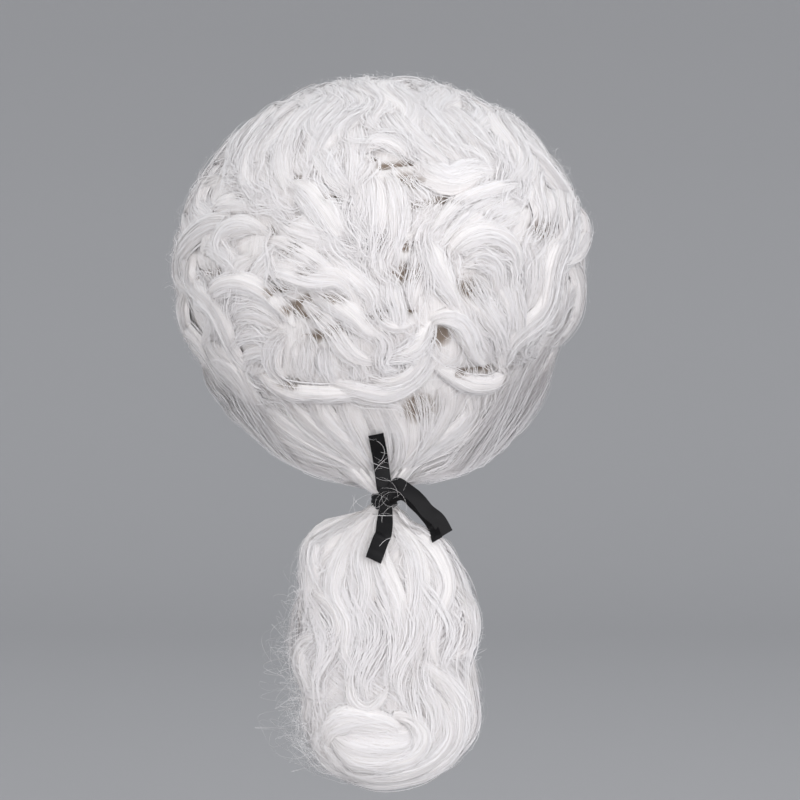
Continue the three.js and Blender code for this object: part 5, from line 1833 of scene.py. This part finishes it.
    def build(self) -> list[bpy.types.Object]:
        """Builds the ribbon's pieces.

        Returns:
            The pieces.
        """
        made = []
        plans = (
            ("ribbon_end_up", TAIL_UP, 1.0, 0.4, "ribbon_tail_up"),
            ("ribbon_end_down", TAIL_DOWN, 1.08, 2.0, "ribbon_tail_down"),
            ("ribbon_end_side", SIDE_END, 1.0, 1.1, "ribbon_loop"),
            ("ribbon_end_side_back", SIDE_BACK, 0.75, 3.0, "ribbon_loop"),
        )
        for name, rows, width, sway, node in plans:
            piece, length = self.end(name, rows, width, sway)
            dress(piece, RibbonFinish(), node)
            made.append(piece)
        winding = self.winding()
        dress(winding, RibbonFinish(), "ribbon_wrap")
        knot = self.knot()
        dress(knot, RibbonFinish(), "ribbon_knot")
        return made + [winding, knot]


def dress(obj: bpy.types.Object, finish: "HairFinish | CoreFinish | RibbonFinish", node: str) -> None:
    """Gives a piece its finish and its body, and hides the node that it stands for.

    Args:
        obj: The piece.
        finish: What it is made of.
        node: The node of the frame.
    """
    obj.data.materials.clear()
    obj.data.materials.append(finish.material())
    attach(obj, "root")
    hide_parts(node)


def surface_tree(piece: bpy.types.Object) -> BVHTree:
    """A tree of a piece's faces, to find where a line meets them."""
    mesh = piece.data
    return BVHTree.FromPolygons([v.co for v in mesh.vertices], [tuple(p.vertices) for p in mesh.polygons])


def add_node(
    tree: bpy.types.NodeTree, kind: str, inputs: dict[str | int, float | tuple] | None = None, **settings: object
) -> bpy.types.Node:
    """Adds a node to a tree, set up.

    Args:
        tree: The tree.
        kind: The node's type.
        inputs: Values for its inputs, by name or place.
        settings: Values for its own settings.

    Returns:
        The node.
    """
    node = tree.nodes.new(kind)
    for name, value in settings.items():
        setattr(node, name, value)
    for place, value in (inputs or {}).items():
        node.inputs[place].default_value = value
    return node


def new_material(name: str) -> tuple[bpy.types.Material, bpy.types.NodeTree, bpy.types.Node]:
    """A new material, its tree and its surface shader.

    Args:
        name: The material's name.

    Returns:
        The material, its tree and its surface shader.
    """
    material = bpy.data.materials.new(name)
    material.use_nodes = True
    tree = material.node_tree
    return material, tree, tree.nodes["Principled BSDF"]


@dataclass(frozen=True)
class HairFinish:
    """White powdered hair: each strand has its own tone, and is painted a little darker and warmer toward its
    root as shade deep in the hair.
    """

    slot: str = "white_hair"
    # The root colour is painted shade: the beige of hair deep under the other strands.
    root: tuple = (0.86, 0.82, 0.795, 1)
    tip: tuple = (0.96, 0.945, 0.95, 1)

    def material(self) -> bpy.types.Material:
        """The material, made once.

        Returns:
            The material.
        """
        if "white hair" in bpy.data.materials:
            return bpy.data.materials["white hair"]
        material, tree, shader = new_material("white hair")
        group = add_node(
            tree, "ShaderNodeGroup", {"Root": self.root, "Tip": self.tip}, node_tree=strand_tone()
        )
        for name, socket in (("tone", "Tone"), ("along", "Along")):
            reader = add_node(tree, "ShaderNodeAttribute", attribute_name=name)
            tree.links.new(reader.outputs["Fac"], group.inputs[socket])
        tree.links.new(group.outputs["Color"], shader.inputs["Base Color"])
        tree.links.new(group.outputs["Roughness"], shader.inputs["Roughness"])
        shader.inputs["Specular IOR Level"].default_value = 0.4
        return material


def strand_tone() -> bpy.types.NodeTree:
    """The node group that turns a strand's tone and the place along it into a colour and a roughness, the colour
    darker toward the root as painted shade.

    Returns:
        The node group.
    """
    if "strand tone" in bpy.data.node_groups:
        return bpy.data.node_groups["strand tone"]
    tree = bpy.data.node_groups.new("strand tone", "ShaderNodeTree")
    for name, kind in (("Root", "NodeSocketColor"), ("Tip", "NodeSocketColor"), ("Tone", "NodeSocketFloat"),
                       ("Along", "NodeSocketFloat")):
        tree.interface.new_socket(name, in_out="INPUT", socket_type=kind)
    for name, kind in (("Color", "NodeSocketColor"), ("Roughness", "NodeSocketFloat")):
        tree.interface.new_socket(name, in_out="OUTPUT", socket_type=kind)
    nodes, links = tree.nodes, tree.links
    source, sink = nodes.new("NodeGroupInput"), nodes.new("NodeGroupOutput")
    # The first three tenths of each strand lean toward the root colour: painted shade near the roots.
    along = add_node(tree, "ShaderNodeMapRange", {"From Max": 0.3, "To Min": 0.25, "To Max": 0.6})
    links.new(source.outputs["Along"], along.inputs["Value"])
    share = add_node(tree, "ShaderNodeMath", operation="MULTIPLY_ADD", use_clamp=True)
    links.new(source.outputs["Tone"], share.inputs[0])
    share.inputs[1].default_value = 0.55
    links.new(along.outputs["Result"], share.inputs[2])
    mix = add_node(tree, "ShaderNodeMix", data_type="RGBA")
    links.new(share.outputs[0], mix.inputs["Factor"])
    links.new(source.outputs["Root"], mix.inputs[6])
    links.new(source.outputs["Tip"], mix.inputs[7])
    links.new(mix.outputs[2], sink.inputs["Color"])
    rough = add_node(tree, "ShaderNodeMapRange", {"To Min": 0.62, "To Max": 0.42})
    links.new(source.outputs["Tone"], rough.inputs["Value"])
    links.new(rough.outputs["Result"], sink.inputs["Roughness"])
    return tree


@dataclass(frozen=True)
class CoreFinish:
    """The hair under the strands, with the cap's tan net, darkened as painted shade, where the locks leave a
    gap.
    """

    slot: str = "white_hair"
    hair: tuple = (0.955, 0.928, 0.915, 1)
    # This net colour is darker than the cap's own net: painted shade in the gaps between the locks.
    net: tuple = (0.33, 0.265, 0.215, 1)

    def material(self) -> bpy.types.Material:
        """The material, made once.

        Returns:
            The material.
        """
        if "hair core" in bpy.data.materials:
            return bpy.data.materials["hair core"]
        material, tree, shader = new_material("hair core")
        links = tree.links
        gap = add_node(tree, "ShaderNodeAttribute", attribute_name="gap")
        # The gap mask blends in the net colour, which carries painted shade.
        mix = add_node(tree, "ShaderNodeMix", {6: self.hair, 7: self.net}, data_type="RGBA")
        edge = add_node(tree, "ShaderNodeMapRange", {"From Min": 0.45, "From Max": 0.9})
        links.new(gap.outputs["Fac"], edge.inputs["Value"])
        links.new(edge.outputs["Result"], mix.inputs["Factor"])
        place = add_node(tree, "ShaderNodeAttribute", attribute_name="grain")
        stretch = add_node(tree, "ShaderNodeMapping", {"Scale": (1.1, 0.05, 3.7)})
        links.new(place.outputs["Vector"], stretch.inputs["Vector"])
        grain = add_node(tree, "ShaderNodeTexNoise", {"Scale": 1, "Detail": 3})
        links.new(stretch.outputs["Vector"], grain.inputs["Vector"])
        streak = add_node(
            tree, "ShaderNodeMapRange", {"From Min": 0.3, "From Max": 0.7, "To Min": 0.88, "To Max": 1.0}
        )
        links.new(grain.outputs["Fac"], streak.inputs["Value"])
        shade = add_node(tree, "ShaderNodeVectorMath", operation="SCALE")
        links.new(mix.outputs[2], shade.inputs[0])
        links.new(streak.outputs["Result"], shade.inputs["Scale"])
        links.new(shade.outputs["Vector"], shader.inputs["Base Color"])
        bump = add_node(tree, "ShaderNodeBump", {"Strength": 0.5, "Distance": 0.0012})
        links.new(grain.outputs["Fac"], bump.inputs["Height"])
        links.new(bump.outputs["Normal"], shader.inputs["Normal"])
        shader.inputs["Roughness"].default_value = 0.8
        return material


@dataclass(frozen=True)
class RibbonFinish:
    """Black satin, with a fine weave across."""

    slot: str = "black_ribbon"
    black: tuple = (0.003, 0.003, 0.0035, 1)
    worn: tuple = (0.008, 0.0075, 0.0085, 1)

    def material(self) -> bpy.types.Material:
        """The material, made once.

        Returns:
            The material.
        """
        if "black satin" in bpy.data.materials:
            return bpy.data.materials["black satin"]
        material, tree, shader = new_material("black satin")
        links = tree.links
        place = add_node(tree, "ShaderNodeAttribute", attribute_name="cloth")
        stretch = add_node(tree, "ShaderNodeMapping", {"Scale": (0.6, 6.0, 1.0)})
        links.new(place.outputs["Vector"], stretch.inputs["Vector"])
        weave = add_node(tree, "ShaderNodeTexNoise", {"Scale": 1, "Detail": 2})
        links.new(stretch.outputs["Vector"], weave.inputs["Vector"])
        mix = add_node(tree, "ShaderNodeMix", {6: self.black, 7: self.worn}, data_type="RGBA")
        links.new(weave.outputs["Fac"], mix.inputs["Factor"])
        links.new(mix.outputs[2], shader.inputs["Base Color"])
        bump = add_node(tree, "ShaderNodeBump", {"Strength": 0.35, "Distance": 0.0002})
        links.new(weave.outputs["Fac"], bump.inputs["Height"])
        links.new(bump.outputs["Normal"], shader.inputs["Normal"])
        shader.inputs["Roughness"].default_value = 0.46
        shader.inputs["Specular IOR Level"].default_value = 0.18
        return material


@dataclass(frozen=True)
class CapFinish:
    """The tan net of the cap, with its rows of weft."""

    slot: str = "cap_net"
    net: tuple = (0.52, 0.42, 0.33, 1)
    weft: tuple = (0.8, 0.76, 0.72, 1)

    def material(self) -> bpy.types.Material:
        """The material, made once.

        Returns:
            The material.
        """
        if "cap net" in bpy.data.materials:
            return bpy.data.materials["cap net"]
        material, tree, shader = new_material("cap net")
        nodes, links = tree.nodes, tree.links
        place = nodes.new("ShaderNodeTexCoord")
        rows = add_node(tree, "ShaderNodeTexWave", {"Scale": 56, "Distortion": 0.6}, bands_direction="Z")
        links.new(place.outputs["Object"], rows.inputs["Vector"])
        mesh = add_node(tree, "ShaderNodeTexVoronoi", {"Scale": 520}, feature="DISTANCE_TO_EDGE")
        links.new(place.outputs["Object"], mesh.inputs["Vector"])
        edge = add_node(tree, "ShaderNodeMapRange", {"From Min": 0.72, "From Max": 0.9})
        links.new(rows.outputs["Fac"], edge.inputs["Value"])
        mix = add_node(tree, "ShaderNodeMix", {6: self.net, 7: self.weft}, data_type="RGBA")
        links.new(edge.outputs["Result"], mix.inputs["Factor"])
        links.new(mix.outputs[2], shader.inputs["Base Color"])
        bump = add_node(tree, "ShaderNodeBump", {"Strength": 0.6, "Distance": 0.0005}, invert=True)
        links.new(mesh.outputs["Distance"], bump.inputs["Height"])
        links.new(bump.outputs["Normal"], shader.inputs["Normal"])
        shader.inputs["Roughness"].default_value = 0.85
        return material


@dataclass(frozen=True)
class Stage:
    """The floor and backdrop, the lamps and the camera."""

    floor_drop: float = -0.56
    floor: tuple = (0.42, 0.42, 0.43, 1)

    def sweep(self) -> bpy.types.Object:
        """A plain pale floor that curves up behind into a backdrop.

        Returns:
            The floor.
        """
        bpy.ops.object.select_all(action="DESELECT")
        bpy.ops.mesh.primitive_grid_add(x_subdivisions=2, y_subdivisions=40, size=2)
        floor = bpy.context.object
        floor.name = "floor"
        radius, depth, near = 1.2, 2.6, -3.5
        for vertex in floor.data.vertices:
            t = (vertex.co.y + 1) / 2
            run = t * (depth - near + radius * math.pi / 2 + 3)
            flat = depth - near
            if run < flat:
                y, z = near + run, 0.0
            elif run < flat + radius * math.pi / 2:
                angle = (run - flat) / radius
                y, z = depth + radius * math.sin(angle), radius * (1 - math.cos(angle))
            else:
                y, z = depth + radius, radius + run - flat - radius * math.pi / 2
            vertex.co = (vertex.co.x * 5, y, z + self.floor_drop)
        for polygon in floor.data.polygons:
            polygon.use_smooth = True
        material, _, shader = new_material("floor")
        shader.inputs["Base Color"].default_value = self.floor
        shader.inputs["Roughness"].default_value = 0.9
        floor.data.materials.append(material)
        return floor

    def lamp(self, name: str, place: tuple, size: float, power: float, tint: tuple) -> None:
        """A large soft lamp that faces the wig.

        Args:
            name: The lamp's name.
            place: Where it stands.
            size: The side of its square.
            power: Its power in watts.
            tint: Its colour.
        """
        data = bpy.data.lights.new(name, "AREA")
        data.size = size
        data.energy = power
        data.color = tint
        lamp = bpy.data.objects.new(name, data)
        lamp.location = place
        aim = Vector((0.0, 0.0, -0.15)) - Vector(place)
        lamp.rotation_euler = aim.to_track_quat("-Z", "Y").to_euler()
        bpy.context.scene.collection.objects.link(lamp)

    def light(self) -> None:
        """Sets the lamps and the even light of the room."""
        self.lamp("key", (1.3, -1.9, 0.35), 1.6, 16, (1.0, 0.98, 1.0))
        self.lamp("fill", (-1.7, -1.6, -0.1), 1.8, 9.5, (1.0, 0.95, 0.93))
        self.lamp("low", (0.2, -1.7, -0.5), 1.1, 8, (1.0, 0.97, 0.97))
        self.lamp("top", (0.2, 0.3, 1.8), 1.2, 2.5, (1.0, 1.0, 1.0))
        world = bpy.data.worlds.new("room")
        world.use_nodes = True
        world.node_tree.nodes["Background"].inputs["Color"].default_value = (0.9, 0.92, 0.95, 1)
        world.node_tree.nodes["Background"].inputs["Strength"].default_value = 0.86
        bpy.context.scene.world = world

    def camera(self) -> None:
        """Sets the camera behind the wig, level, at the middle of the framed room."""
        data = bpy.data.cameras.new("camera")
        data.sensor_width = 36
        data.lens = 36 * VIEW_DISTANCE / VIEW_WIDTH
        camera = bpy.data.objects.new("camera", data)
        camera.location = (VIEW_X, -VIEW_DISTANCE, VIEW_Z)
        camera.rotation_euler = (math.pi / 2, 0, 0)
        bpy.context.scene.collection.objects.link(camera)
        bpy.context.scene.camera = camera

    def build(self) -> None:
        """Sets the whole stage."""
        self.sweep()
        self.light()
        self.camera()
        bpy.context.scene.view_settings.view_transform = "Standard"


def main() -> None:
    """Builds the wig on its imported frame."""
    logging.basicConfig(level=logging.INFO, format="%(message)s")
    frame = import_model()
    Stage().build()
    pieces = HeadHair().build() + Queue().build()
    near = ("nape_hair_core", "back_hair_core", "queue_core")
    behind = [surface_tree(piece) for piece in pieces if piece.name in near]
    pieces += Ribbon(behind).build()
    cap = frame["nodes"]["wig_cap"]
    cap.data.materials.clear()
    cap.data.materials.append(CapFinish().material())
    for piece in pieces:
        LOG.info("%s: %d faces", piece.name, len(piece.data.polygons))


if __name__ == "__main__":
    main()
